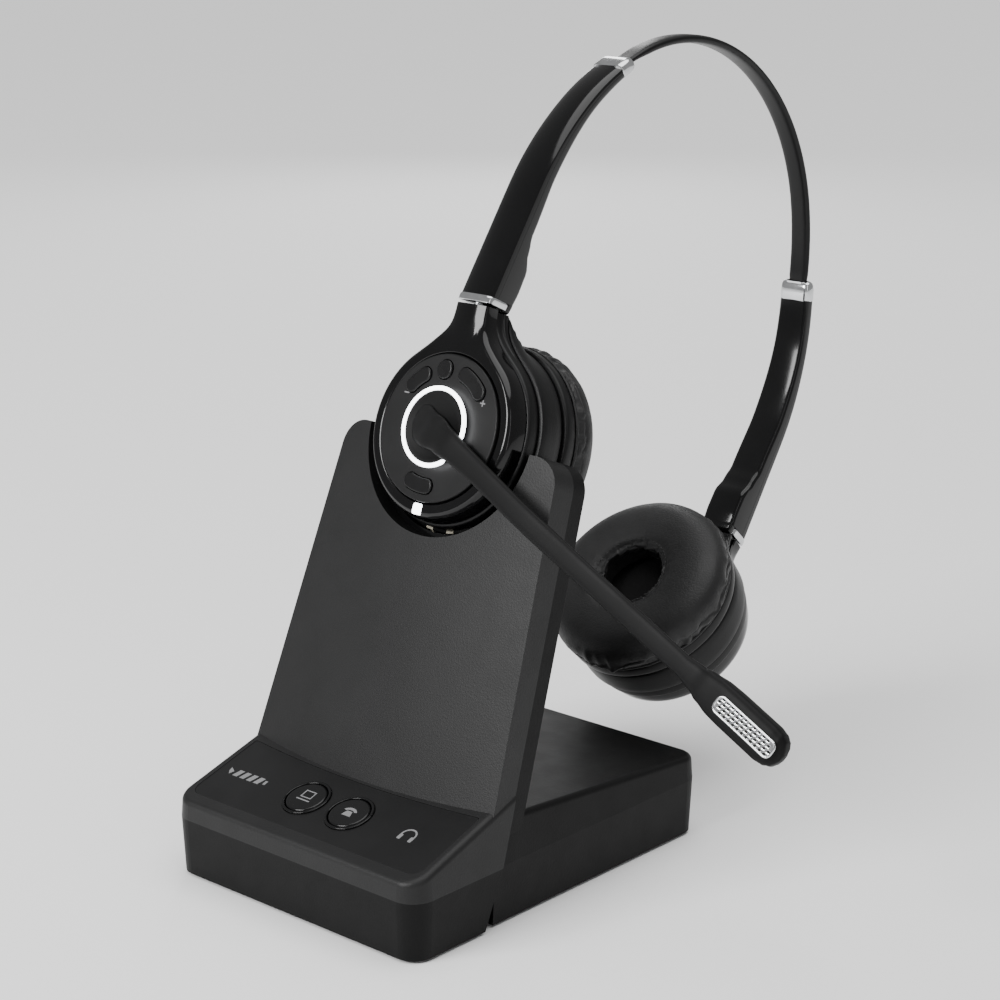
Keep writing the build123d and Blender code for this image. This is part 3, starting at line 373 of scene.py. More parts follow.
MATERIALS = {
    "base_shell": moulded_plastic("base_shell_black", (0.0042, 0.0042, 0.0044), 0.50, 2300, 0.42),
    "panel_plastic": moulded_plastic("panel_black", (0.0075, 0.0075, 0.0077), 0.34, 3200, 0.12),
    "gloss_black": gloss_plastic("polished_black"),
    "cup_shell": moulded_plastic("cup_shell_black", (0.0040, 0.0040, 0.0042), 0.38, 2800, 0.22),
    "cup_face": moulded_plastic("cup_face_black", (0.0046, 0.0046, 0.0048), 0.40, 3000, 0.16, 0.0002),
    "boom_plastic": moulded_plastic(
        "boom_satin_black", (0.0028, 0.0028, 0.0029), 0.52, 2600, 0.14, edge=0.0003, ior=1.25),
    "button_plastic": gloss_plastic("button_gloss", (0.0035, 0.0035, 0.0037), 0.18),
    "button_rubber": moulded_plastic("button_satin", (0.0040, 0.0040, 0.0042), 0.28, 3400, 0.12, 0.0002),
    "band_sleeve": moulded_plastic("sleeve_satin", (0.0028, 0.0028, 0.0030), 0.34, 2400, 0.10, 0.0002),
    "cushion_leather": leatherette("black_leatherette"),
    "foot_rubber": moulded_plastic("foot_rubber_black", (0.016, 0.016, 0.016), 0.75, 1500, 0.5, 0.0002),
    "steel": bright_metal("steel_brushed", (0.56, 0.57, 0.58), 0.28, (1, 12, 12)),
    "chrome": bright_metal("bright_plating", (0.70, 0.71, 0.72), 0.12),
    # the contacts' plating is dulled well below bare metal: painted shade for their place deep in the slot
    "gold_contacts": bright_metal("plated_contact_painted_shade", (0.42, 0.39, 0.32), 0.34),
    "circuit_board": printed_board("solder_mask_green"),
    "socket_plastic": moulded_plastic("socket_black", (0.02, 0.02, 0.02), 0.5, 2000, 0.2, 0.0002),
    "battery_foil": bright_metal("battery_foil_grey", (0.62, 0.63, 0.65), 0.32, (1, 1, 1), 200),
    "driver_metal": bright_metal("driver_grey", (0.42, 0.42, 0.43), 0.35, (1, 1, 1), 300),
    # printed symbols: white print with a faint glow, painted light
    "deck_symbols": light_guide("symbol_white_painted_glow", (0.20, 0.20, 0.205), 0.03),
    "ear_cloth": moulded_plastic("speaker_cloth_black", (0.0035, 0.0035, 0.0036), 0.8, 3600, 0.7, 0.0002),
    "light_white": light_guide("light_ring_white", (0.97, 0.98, 1.0), 7.0),
}


def dress_frame():
    """Each CAD node gets its slot's finish; the upright is lighter as painted light, tray and rear darker as
    painted shade.
    """
    slots = {part["node"]: part["material_slot"] for part in frame["record"]["subparts"]}
    # painted light and shade: lighter and darker copies of the base's black, for how the light falls on each shell
    upright_painted_light = moulded_plastic("upright_painted_light_black", (0.0075, 0.0075, 0.0077), 0.48, 2300, 0.42, ior=1.36)
    low = moulded_plastic("base_painted_shade_black", (0.0022, 0.0022, 0.0023), 0.50, 2300, 0.42, ior=1.25)
    own = {"front_housing": upright_painted_light, "base_tray": low, "rear_housing": low}
    for name, node in nodes.items():
        node.data.materials.clear()
        node.data.materials.append(own.get(name, MATERIALS[slots[name]]))


# ---------------------------------------------------------------- mesh helpers
def make_piece(name, points, faces, body, material, replaced=(), sharp=32):
    """A mesh piece: points in metres, normals made consistent, edges over the sharp angle kept crisp."""
    mesh = bpy.data.meshes.new(name)
    mesh.from_pydata([tuple(p) for p in points], [], faces)
    shape = bmesh.new()
    shape.from_mesh(mesh)
    bmesh.ops.remove_doubles(shape, verts=shape.verts, dist=1e-7)
    bmesh.ops.recalc_face_normals(shape, faces=shape.faces)
    shape.to_mesh(mesh)
    shape.free()
    mesh.shade_smooth()
    mesh.set_sharp_from_angle(angle=math.radians(sharp))
    mesh.materials.append(MATERIALS[material])
    piece = new_object(name, mesh)
    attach(piece, body)
    if replaced:
        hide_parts(*replaced)
    return piece


def grid_faces(rows, columns, close_rows=False):
    """Quads of a grid whose columns go round and whose rows run along."""
    faces = []
    for row in range(rows if close_rows else rows - 1):
        below = row * columns
        above = (row + 1) % rows * columns
        for column in range(columns):
            after = (column + 1) % columns
            faces.append((below + column, below + after, above + after, above + column))
    return faces


def loft(sections, close=False):
    """Closed sections joined along, with flat ends unless they close on themselves."""
    columns = len(sections[0])
    faces = grid_faces(len(sections), columns, close)
    if not close:
        last = (len(sections) - 1) * columns
        faces.append(tuple(range(columns)))
        faces.append(tuple(range(last, last + columns)))
    return [point for section in sections for point in section], faces


def smooth_step(value, low, high):
    share = min(max((value - low) / (high - low), 0.0), 1.0)
    return share * share * (3 - 2 * share)


def follow(value, table):
    """A value read from a short table of (place, value) pairs, eased between them."""
    for (place, here), (next_place, there) in zip(table, table[1:]):
        if value <= next_place:
            return here + (there - here) * smooth_step(value, place, next_place)
    return table[-1][1]


def spline(points, count):
    """Evenly counted points of a Catmull-Rom curve through the given ones."""
    points = [np.array(p, float) for p in points]
    spans = len(points) - 1
    curve = []
    for index in range(count):
        place = index * spans / (count - 1)
        span = min(int(place), spans - 1)
        t = place - span
        a, b, c, d = (points[min(max(span + k, 0), spans)] for k in (-1, 0, 1, 2))
        curve.append(0.5 * (2 * b + (c - a) * t + (2 * a - 5 * b + 4 * c - d) * t * t
                            + (3 * b - 3 * c + d - a) * t ** 3))
    return curve


def rounded_section(width, height, corner, steps=5):
    """A rectangle with round corners, as (x, y) pairs."""
    corner = min(corner, width / 2 - 0.01, height / 2 - 0.01)
    points = []
    for quarter, (sx, sy) in enumerate(((1, 1), (-1, 1), (-1, -1), (1, -1))):
        for step in range(steps + 1):
            angle = math.radians(90 * quarter + 90 * step / steps)
            points.append((sx * (width / 2 - corner) + corner * math.cos(angle),
                           sy * (height / 2 - corner) + corner * math.sin(angle)))
    return points


# ---------------------------------------------------------------- ear cup shells
def smooth_union(first, second, blend):
    share = max(blend - abs(first - second), 0.0) / blend
    return min(first, second) - share * share * blend / 4


def cup_outline(radius, half, top, blend):
    """Edge of ring and neck together, as seen from the cup's middle, with more points beside the neck."""
    corner = math.degrees(math.atan2(half, top))
    angles = [corner * k / 5 for k in range(6)]
    angles += [corner + (34 - corner) * (k / 18) ** 1.8 for k in range(1, 19)]
    angles += [34 + 146 * k / 62 for k in range(1, 63)]
    side = []
    for degrees in angles:
        sx, sy = math.sin(math.radians(degrees)), math.cos(math.radians(degrees))
        low, high = 5.0, 70.0
        for _ in range(30):
            middle = (low + high) / 2
            x, y = middle * sx, middle * sy
            if smooth_union(math.hypot(x, y) - radius, max(x - half, -y), blend) < 0:
                low = middle
            else:
                high = middle
        reach = min(low, top / sy) if sy > 0 else low
        side.append((reach * sx, reach * sy))
    return side + [(-x, y) for x, y in reversed(side[1:-1])]


def round_outline(outline, radius):
    """A circle with one point in the direction of each point of the outline."""
    return [(x * radius / math.hypot(x, y), y * radius / math.hypot(x, y)) for x, y in outline]


def cup_shell(name, cup, layers, body, material, replaced):
    """Layers of (outline, height) joined into one closed shell; height may depend on the place."""
    sections = []
    for outline, height in layers:
        sections.append([cup.at(x, y, height(x, y) if callable(height) else height) for x, y in outline])
    make_piece(name, *loft(sections, close=True), body, material, replaced, sharp=38)


def add_fascia(side):
    """Polished ring round the face, running up into the front half of the neck."""
    cup = CUPS[side]
    blend = 11.0

    def ring(radius, half, top=37.5):
        return cup_outline(radius, half, top, blend)

    def towards(outer, share, radius=23.0):
        """Between the outer edge and the round opening."""
        line = []
        for x, y in outer:
            length = math.hypot(x, y)
            scale = (length + (radius - length) * share) / length
            line.append((x * scale, y * scale))
        return line

    def front(x, y):
        """The neck's front is crowned like the arm above it."""
        share = smooth_step(y, 25, 33)
        return 7.0 - share * (0.35 + 1.0 * min(abs(x) / 6.3, 1.2) ** 2)

    def lowered(amount):
        return lambda x, y: front(x, y) - amount

    widest = ring(27.4, 6.3)
    edge = ring(25.0, 5.5)
    layers = [(ring(27.0, 5.9), 0.7), (ring(27.4, 6.25), 1.05), (ring(27.2, 6.3), lowered(3.8)),
              (ring(26.7, 6.3), lowered(1.8)), (ring(26.2, 6.2), lowered(0.75)), (ring(25.7, 6.05), lowered(0.3)),
              (ring(25.35, 5.85), lowered(0.07)), (edge, lowered(0.0))]
    layers += [(towards(edge, share), lowered(0.05 * share)) for share in (0.25, 0.5, 0.75, 0.93)]
    opening = ((22.85, 6.92), (22.6, 6.8), (22.35, 6.5), (22.3, 4.0), (22.3, 0.7))
    layers += [(round_outline(widest, radius), height) for radius, height in opening]
    cup_shell(f"{side}_polished_ring", cup, layers, CUP_BODY[side], "gloss_black", [f"{side}_fascia"])


def add_casing(side):
    """Stepped rear shell with the back half of the neck, a groove and the rim under the cushion."""
    cup = CUPS[side]
    blend = 12.0

    def ring(radius, half=6.4, top=36.9):
        return cup_outline(radius, half, top, blend)

    front = ring(28.3)
    layers = [(ring(27.3, 4.6), 0.62), (ring(27.9, 4.9), 0.45), (ring(28.2, 5.1), 0.1), (ring(28.3, 5.2), -0.5),
              (ring(28.4, 5.3), -1.6), (ring(28.4, 5.6), -1.9), (ring(28.4, 6.2), -2.05), (ring(28.4, 6.4), -2.5),
              (ring(28.4, 6.4), -3.3), (ring(28.1, 6.4), -3.75), (ring(27.7, 6.3, 36.6), -4.0),
              (ring(28.8, 6.4, 36.3), -4.05), (ring(29.3, 6.4, 35.9), -4.25), (ring(29.5, 6.4, 35.2), -4.8),
              (ring(29.6, 6.2, 33.0), -6.6), (ring(29.6, 5.6, 30.6), -8.4)]
    # round part: side of the casing, groove, rim under the cushion, and the inside
    profile = ((29.55, -10.2), (29.4, -13.0), (29.15, -13.6), (28.7, -13.9), (28.1, -14.0), (28.1, -14.6),
               (29.4, -14.75), (29.95, -14.95), (30.2, -15.3), (30.3, -16.0), (30.3, -18.4), (30.05, -18.95),
               (29.5, -19.25), (27.0, -19.3), (26.6, -19.0), (26.6, -0.3), (22.35, -0.3), (22.35, 0.6))
    layers += [(round_outline(front, radius), height) for radius, height in profile]
    cup_shell(f"{side}_rear_shell", cup, layers, CUP_BODY[side], "cup_shell", [f"{side}_casing"])


# ---------------------------------------------------------------- ear cushions
SEAM_HEIGHT = -19.7
CUSHION_PROFILE = [(29.6, SEAM_HEIGHT), (30.5, -20.5), (31.4, -22.4), (31.6, -25.0), (31.0, -27.8),
                   (29.2, -30.2), (26.0, -31.9), (22.0, -32.6), (18.0, -32.7), (15.2, -32.5), (13.2, -31.8),
                   (12.0, -30.6), (11.6, -28.8), (11.6, -25.0), (11.8, -21.4), (13.2, SEAM_HEIGHT)]
CUSHION_ROWS = 56
CUSHION_COLUMNS = 288
PUFF_LIMIT = 1.1            # the solver may move a point of the cover this far
CLOTH_SCALE = 0.01          # the cover is solved at ten times its size, where the solver is steady
GATHER_DEPTH = 0.62         # at the outer seam
HOLE_GATHER_DEPTH = 0.07
UNEVENNESS = 0.22


def cushion_shape():
    """Ring cushion about its own middle, row after row of its profile, in millimetres."""
    return np.array([(*polar(radius, a), height) for radius, height in spline(CUSHION_PROFILE, CUSHION_ROWS)
                     for a in turns(CUSHION_COLUMNS)], float)


def puff(obj, held, frames=20):
    """Inflate the cover with the held vertices fixed; it is cut a little too wide, so it puckers."""
    scene = bpy.context.scene
    group = obj.vertex_groups.new(name="held")
    group.add(held, 1.0, "REPLACE")
    cloth = obj.modifiers.new("puff", "CLOTH")
    settings = cloth.settings
    settings.quality = 7
    settings.mass = 0.15
    settings.tension_stiffness = 14
    settings.compression_stiffness = 14
    settings.shear_stiffness = 6
    settings.bending_stiffness = 0.35
    settings.use_pressure = True
    settings.uniform_pressure_force = 5.0
    settings.shrink_min = -0.045
    settings.vertex_group_mass = "held"
    settings.effector_weights.gravity = 0
    cloth.collision_settings.use_self_collision = False
    cloth.point_cache.frame_start = 1
    cloth.point_cache.frame_end = frames
    for frame_number in range(1, frames + 1):
        scene.frame_set(frame_number)
    graph = bpy.context.evaluated_depsgraph_get()
    evaluated = obj.evaluated_get(graph)
    moved = np.array([v.co for v in evaluated.data.vertices], float)
    obj.modifiers.remove(cloth)
    obj.vertex_groups.remove(group)
    scene.frame_set(1)
    return moved


def waves(draw, count, low, high):
    """Random ripples round the cushion: how many go round, where they start and how strong they are."""
    return [(draw.randint(low, high), draw.uniform(0, 6.28), draw.uniform(0.4, 1.0)) for _ in range(count)]


def pucker(points):
    """Gathers along the outer seam, softer ones at the hole and slow unevenness everywhere."""
    draw = random.Random(11)
    outer = waves(draw, 7, 15, 49)
    inner = waves(draw, 5, 18, 34)
    slow = waves(draw, 4, 2, 7)
    gate = [(draw.randint(3, 9), draw.uniform(0, 6.28)) for _ in range(3)]
    result = points.copy()
    for index, point in enumerate(points):
        along = index // CUSHION_COLUMNS / (CUSHION_ROWS - 1)
        angle = 2 * math.pi * (index % CUSHION_COLUMNS) / CUSHION_COLUMNS
        outward = point - np.array([21.5 * math.cos(angle), 21.5 * math.sin(angle), -26.0])
        outward /= np.linalg.norm(outward)
        patch = 0.42 + 0.62 * sum(math.sin(n * angle + p) for n, p in gate) / 2
        bent = angle + 0.02 * math.sin(9 * along)
        gathers = sum(w * math.sin(n * bent + p + 0.9 * along) for n, p, w in outer) / 3
        gathers = gathers if gathers > 0 else gathers * 0.5
        near_seam = smooth_step(along, 0.0, 0.045) * (1 - smooth_step(along, 0.10, 0.34))
        holes = sum(w * math.sin(n * angle + p) for n, p, w in inner) / 3
        near_hole = smooth_step(along, 0.56, 0.66) * (1 - smooth_step(along, 0.80, 0.93))
        calm = sum(w * math.sin(n * angle + p + 4 * along) for n, p, w in slow) / 3
        crown = smooth_step(along, 0.1, 0.3) * (1 - smooth_step(along, 0.7, 0.9))
        result[index] = point + outward * (GATHER_DEPTH * gathers * near_seam * max(patch, 0.12)
                                           + HOLE_GATHER_DEPTH * holes * near_hole + UNEVENNESS * calm * crown)
    return result


def cushion_points():
    points = cushion_shape()
    mesh = bpy.data.meshes.new("cover_trial")
    faces = grid_faces(CUSHION_ROWS, CUSHION_COLUMNS, close_rows=True)
    mesh.from_pydata([tuple(p * CLOTH_SCALE) for p in points], [], faces)
    trial = new_object("cover_trial", mesh)
    held = [index for index, p in enumerate(points) if p[2] > SEAM_HEIGHT - 0.6]
    shift = puff(trial, held) / CLOTH_SCALE - points
    length = np.linalg.norm(shift, axis=1)
    scale = np.where(length > PUFF_LIMIT, PUFF_LIMIT / np.maximum(length, 1e-9), 1.0)
    points = points + shift * scale[:, None]
    bpy.data.objects.remove(trial)
    bpy.data.meshes.remove(mesh)
    return pucker(points)


def add_cushion(side, cover, turn):
    """One leatherette cushion with its piping and the stitched seam round the hole."""
    cup = CUPS[side].turned(turn)
    placed = [cup.at(x, y, z) for x, y, z in cover]
    faces = grid_faces(CUSHION_ROWS, CUSHION_COLUMNS, close_rows=True)
    cushion = make_piece(f"{side}_ear_cushion", placed, faces, CUP_BODY[side], "cushion_leather",
                         [f"{side}_cushion"], sharp=80)
    level = cushion.modifiers.new("finer", "SUBSURF")
    level.levels = 1
    level.render_levels = 1
    # piping where the cover is drawn over the rim
    cord = 0.5
    sections = []
    for angle in turns(240):
        wave = 0.05 * math.sin(23 * angle) + 0.04 * math.sin(41 * angle + 1)
        sections.append([cup.at(*polar(30.15 + wave + cord * math.cos(a), angle), -19.75 + cord * math.sin(a))
                         for a in turns(10)])
    make_piece(f"{side}_cushion_piping", *loft(sections, close=True), CUP_BODY[side], "cushion_leather",
               sharp=80)
    # cloth over the loudspeaker, a little slack
    cloth = ((13.0, -20.6), (12.2, -21.3), (9.0, -21.7), (5.0, -21.9), (2.0, -22.0), (0.3, -22.02))
    layers = [cup.circle(radius, height, 60) for radius, height in cloth]
    make_piece(f"{side}_speaker_cloth", *loft(layers), CUP_BODY[side], "ear_cloth", sharp=60)
    # stitches just inside the hole's edge, each a short bead
    thread = 0.17
    points, faces = [], []
    for angle in turns(52):
        bead = []
        for along in (-1, -0.5, 0, 0.5, 1):
            size = thread * math.sqrt(max(1 - (along * 0.97) ** 2, 0.02))
            height = -31.5 - 0.12 * (1 - along ** 2)
            place = angle + along * 0.042
            bead.append([cup.at(*polar(12.75 + size * math.cos(b), place), height + size * math.sin(b))
                         for b in turns(6)])
        bead_points, bead_faces = loft(bead)
        faces += [tuple(i + len(points) for i in face) for face in bead_faces]
        points += bead_points
    make_piece(f"{side}_cushion_stitches", points, faces, CUP_BODY[side], "cushion_leather", sharp=80)


# ---------------------------------------------------------------- arms
ARM_RADIUS = 91.0
ARM_STRAIGHT = 38.4
ARM_TOP = 34.5
CAP_LENGTH = 6.5


def arm_station(arm, run):
    """Frame square to the arm, a distance up from its foot: x away from the head, y up the arm."""
    if run <= ARM_STRAIGHT:
        return arm.moved(0, run)
    angle = (run - ARM_STRAIGHT) / ARM_RADIUS
    place = arm.moved(-ARM_RADIUS + ARM_RADIUS * math.cos(angle), ARM_STRAIGHT + ARM_RADIUS * math.sin(angle))
    return place.turned(math.degrees(angle))


ARM_RUN = ARM_STRAIGHT + ARM_RADIUS * math.radians(ARM_TOP)
OUTER_RISE = [(0, 3.15), (30, 3.1), (70, 2.6), (95, 2.35)]
INNER_RISE = [(0, 7.6), (6, 8.1), (13, 7.9), (19, 5.4), (24, 4.0), (45, 3.2), (75, 2.3), (95, 2.0)]
HALF_WIDTH = [(0, 6.35), (30, 6.3), (95, 5.75)]
SLANT = 0.16


def arm_runs(start, stop, step=1.6):
    count = max(int((stop - start) / step), 2)
    return [start + (stop - start) * k / count for k in range(count + 1)]


def slanted(station_run, x):
    """Arm foot and collar are cut a little askew: lower on the outer side."""
    return -SLANT * x * (1 - smooth_step(station_run, 2, 14))


def outer_section(run):
    """Hollow outer shell: a crowned back between two crisp ridges."""
    rise, half = follow(run, OUTER_RISE), follow(run, HALF_WIDTH)
    ridge = rise - 1.15
    line = [(0.04, -half), (ridge - 0.25, -half), (ridge, -half + 0.06), (ridge + 0.14, -half + 0.28)]
    for w in (-0.8, -0.6, -0.35, 0, 0.35, 0.6, 0.8):
        line.append((rise - 1.0 * abs(w) ** 2.2, w * half))
    deep = min(1.9, rise - 0.8)
    line += [(ridge + 0.14, half - 0.28), (ridge, half - 0.06), (ridge - 0.25, half), (0.04, half),
             (0.04, half - 1.0), (deep, half - 1.3), (deep, -half + 1.3), (0.04, -half + 1.0)]
    return line


def inner_section(run):
    """Hollow inner shell with rounded edges, deepest at the foot."""
    rise, half = follow(run, INNER_RISE), follow(run, HALF_WIDTH)
    corner = min(1.5, rise - 0.5)
    line = [(-0.04, half), (-rise + corner, half)]
    for k in (1, 2, 3, 4):
        a = math.radians(22.5 * k)
        line.append((-rise + corner - corner * math.sin(a), half - corner + corner * math.cos(a)))
    line.append((-rise - 0.12, 0))
    for k in (4, 3, 2, 1):
        a = math.radians(22.5 * k)
        line.append((-rise + corner - corner * math.sin(a), -half + corner - corner * math.cos(a)))
    deep = min(1.6, rise - 0.4)
    line += [(-rise + corner, -half), (-0.04, -half), (-0.04, -half + 1.0), (-deep, -half + 1.1),
             (-deep, half - 1.1), (-0.04, half - 1.0)]
    return line


def add_arm(side):
    arm = ARMS[side]
    body = ARM_BODY[side]
    end = ARM_RUN - CAP_LENGTH
    for part, section in (("outer", outer_section), ("inner", inner_section)):
        sections = []
        for run in arm_runs(1.5, end):
            station = arm_station(arm, run)
            sections.append([station.at(x, slanted(run, x), w) for x, w in section(run)])
        make_piece(f"{side}_arm_{part}_shell", *loft(sections), body, "gloss_black",
                   [f"{side}_arm_{part}"], sharp=24)
    # bright cap at the mouth, rounded over its end, with the slot for the band
    sections = []
    for run, grow in ((end - 0.2, 0.0), (end, 0.12), (end + 0.25, 0.2), (end + 3.6, 0.2), (end + 5.0, 0.05),
                      (end + 5.8, -0.3), (end + 6.2, -0.75), (end + 6.4, -1.3)):
        station = arm_station(arm, run)
        rise, inner, half = follow(end, OUTER_RISE), follow(end, INNER_RISE), follow(end, HALF_WIDTH)
        line = [(x + (rise - inner) / 2, w)
                for x, w in rounded_section(rise + inner + 2 * grow, 2 * (half + grow), 2.0 + min(grow, 0))]
        sections.append([station.at(x, 0, w) for x, w in line])
    for run, shrink in ((end + 6.35, 0.0), (end + 5.0, 0.1), (end - 0.2, 0.1)):
        station = arm_station(arm, run)
        sections.append([station.at(x, 0, w) for x, w in rounded_section(3.7 - shrink, 7.8 - shrink, 1.2)])
    make_piece(f"{side}_bright_cap", *loft(sections, close=True), body, "chrome", [f"{side}_arm_cap"], sharp=40)
    # bright collar between the arm and the neck
    sections = []
    for run, grow in ((-1.0, -0.45), (-0.9, -0.1), (-0.65, 0.12), (0.8, 0.18), (1.15, 0.1), (1.45, -0.1),
                      (1.5, -0.5)):
        station = arm_station(arm, run)
        line = rounded_section(9.0 + 2 * grow, 12.8 + 2 * grow, 2.0)
        sections.append([station.at(x - 1.25, -SLANT * (x - 1.25), w) for x, w in line])
    make_piece(f"{side}_bright_collar", *loft(sections), body, "chrome", [f"{side}_collar"], sharp=40)
    # swivel pin, hidden inside the arm's foot and the neck
    sections = []
    for run, radius in ((-9.0, 1.1), (-8.7, 1.45), (-7.0, 1.45), (-6.9, 1.25), (-6.3, 1.25), (-6.2, 1.45),
                        (6.6, 1.45), (6.9, 1.1)):
        sections.append([arm.at(x, run, z) for x, z in (polar(radius, a) for a in turns(24))])
    make_piece(f"{side}_pivot_pin", *loft(sections), body, "steel", [f"{side}_swivel_pin"], sharp=40)
    # dark knee of the arm's foot behind the collar
    sections = []
    front = 4.6
    for run, deep, half in ((-1.6, 6.9, 5.2), (-1.4, 7.3, 5.7), (-0.8, 7.6, 6.0), (1.2, 7.75, 6.15),
                            (2.6, 7.7, 6.1)):
        line = rounded_section(deep - front, 2 * half, 1.1)
        sections.append([arm.at(x - (deep + front) / 2, run + 1.1, w) for x, w in line])
    make_piece(f"{side}_arm_knee", *loft(sections), body, "gloss_black", sharp=50)


# ---------------------------------------------------------------- headband
HALF_SPAN = 75.8            # from the band's middle to each arm's foot
BAND_RISE = 58.4            # the band's own middle over the feet
ARC_DROP = -20.0            # centres of the two side arcs, from that middle
JOIN = 42.0                 # angle where a side arc meets the crown's arc
MOUTH = 180 - ARM_TOP       # angle of the far arm's mouth


def add_headband():
    """Thin satin band: a lens-shaped section that flattens where it runs inside the arms."""
    band = Frame(near_foot + (band_out * HALF_SPAN + band_up * BAND_RISE) * MM, band_out, band_up)
    arc_x = HALF_SPAN - ARM_RADIUS
    crown_radius = ARM_RADIUS + arc_x / math.cos(math.radians(JOIN))
    crown_height = ARC_DROP - arc_x * math.tan(math.radians(JOIN))
    tongue = ARM_TOP - 13.8
    sections = []
    total = 180 - 2 * tongue
    steps = 150
    for step in range(steps + 1):
        angle = tongue + total * step / steps
        if angle < JOIN:
            x, y, radius = arc_x, ARC_DROP, ARM_RADIUS
        elif angle > 180 - JOIN:
            x, y, radius = -arc_x, ARC_DROP, ARM_RADIUS
        else:
            x, y, radius = 0.0, crown_height, crown_radius
        a = math.radians(angle)
        place = band.moved(x + radius * math.cos(a), y + radius * math.sin(a)).turned(angle)
        exposed = smooth_step(angle, 24.5, 28.5) * (1 - smooth_step(angle, MOUTH + 8.0, MOUTH + 11.0))
        crown = 1 - smooth_step(angle, MOUTH - 7.0, MOUTH - 1.0)
        thick = 1.1 + 0.85 * exposed + 0.85 * exposed * crown
        wide = 6.2 + 0.5 * exposed + 0.4 * exposed * crown
        line = []
        for b in turns(28):
            c, s = polar(1, b)
            line.append((thick / 2 * math.copysign(abs(c) ** 0.72, c),
                         wide / 2 * math.copysign(abs(s) ** 0.62, s)))
        sections.append([place.at(px, 0, pw) for px, pw in line])
    make_piece("headband_strip", *loft(sections), "headband", "band_sleeve", ["headband_sleeve"], sharp=60)


# ---------------------------------------------------------------- microphone boom
BOOM_BEND = 7.0
BOOM_BEND_AT = 46.0
BEND_SOFTNESS = 8.0         # the bend is spread this far to either side
MIC_TIP = 150.0
BLADE_WIDTH = [(-9.6, 4.0), (-8.6, 7.6), (-5, 11.2), (0, 11.2), (6, 9.3), (14, 7.7), (24, 7.0), (46, 6.8),
               (100, 6.4), (112, 6.3), (117, 7.6), (121, 9.4), (126, 10.7), (131, 11.0), (144, 11.0),
               (146.5, 10.2), (148.4, 8.4), (149.5, 5.6), (150, 2.6)]
BLADE_THICKNESS = [(-9.6, 0.5), (-7, 1.1), (0, 2.2), (8, 2.9), (16, 2.5), (108, 2.4), (116, 3.0), (122, 5.0),
                   (129, 6.3), (144, 6.5), (147, 5.9), (149.2, 4.2), (150, 2.4)]
BLADE_LEVEL = [(-9.6, 8.7), (-5, 8.8), (2, 9.5), (11, 10.5), (16, 10.6), (200, 10.6)]
BLADE_SIDE = [(-9.6, -0.6), (-3, -1.9), (5, -0.9), (14, -0.25), (24, 0.0), (200, 0.0)]
GRILLE_LENGTH = 21.6
GRILLE_WIDTH = 5.4
GRILLE_START = MIC_TIP - 23.4
MIC_FACE = 6.5 / 2          # the microphone's face over its middle line


def boom_station(boom, run):
    """Place on the boom's middle line, the way ahead and the way outward; it bends towards the mouth."""
    level = follow(run, BLADE_LEVEL)
    if run <= BOOM_BEND_AT - BEND_SOFTNESS:
        return boom.at(run, 0, level), boom.x, boom.z
    steps = 12
    bent = min((run - BOOM_BEND_AT + BEND_SOFTNESS) / (2 * BEND_SOFTNESS), 1.0)
    place = boom.at(BOOM_BEND_AT - BEND_SOFTNESS, 0, level)
    angle = math.radians(BOOM_BEND) * bent
    length = bent * 2 * BEND_SOFTNESS
    for step in range(steps):
        a = angle * (step + 0.5) / steps
        place = place + (boom.x * math.cos(a) - boom.z * math.sin(a)) * (length / steps) * MM
    ahead = boom.x * math.cos(angle) - boom.z * math.sin(angle)
    rest = max(run - BOOM_BEND_AT - BEND_SOFTNESS, 0)
    return place + ahead * rest * MM, ahead, boom.z * math.cos(angle) + boom.x * math.sin(angle)


def add_boom_blade(boom):
    """Slim arm that swells into the microphone, stations closer where it changes."""
    sections = []
    runs = ([-9.5, -9.2, -8.6, -7.8] + [-7 + 1.0 * k for k in range(18)] + [12 + 3 * k for k in range(33)]
            + [110 + 0.8 * k for k in range(45)] + [146.2 + 0.4 * k for k in range(10)] + [MIC_TIP])
    for run in sorted(set(runs)):
        place, ahead, outward = boom_station(boom, run)
        across = outward.cross(ahead)
        wide, thick = follow(run, BLADE_WIDTH), follow(run, BLADE_THICKNESS)
        paddle = smooth_step(run, 116, 127)
        line = []
        for a in turns(36):
            c, s = polar(1, a)
            y = follow(run, BLADE_SIDE) + wide / 2 * math.copysign(abs(c) ** (0.62 - 0.12 * paddle), c)
            z = thick / 2 * math.copysign(abs(s) ** (0.75 - 0.25 * paddle), s)
            line.append(place + (across * y + outward * z) * MM)
        sections.append(line)
    make_piece("boom_arm_and_microphone", *loft(sections), "mic_boom", "boom_plastic",
               ["boom_blade", "mic_housing"], sharp=60)


def add_boom_hub(boom):
    """Rounded disc with a shallow dish, and the light guide round it, open where the boom passes."""
    profile = [(0.0, 8.3), (3, 8.34), (6, 8.6), (8.4, 9.05), (9.7, 9.5), (10.25, 9.72), (10.6, 9.72),
               (10.85, 9.5), (10.95, 9.1), (10.98, 8.4), (10.7, 8.0), (7.0, 7.95), (3.1, 7.95), (3.0, 1.6),
               (0.0, 1.6)]
    sections = [[boom.at(*polar(r, a), z) for r, z in profile] for a in turns(120)]
    make_piece("boom_hub_dish", *loft(sections, close=True), "mic_boom", "boom_plastic", ["boom_hub"], sharp=35)
    sections = []
    gap_above, gap_below, guide_radius = 13.0, 24.5, 11.45
    for step in range(121):
        share = step / 120
        a = math.radians(gap_above + (360 - gap_above - gap_below) * share)
        swell = min(min(share, 1 - share) * 60, 1.0) ** 0.5
        size = 0.66 * max(swell, 0.25)
        sections.append([boom.at(*polar(guide_radius + size * math.cos(b), a), 9.5 + size * math.sin(b))
                         for b in turns(12)])
    make_piece("boom_light_ring", *loft(sections), "mic_boom", "light_white", ["boom_ring"], sharp=60)


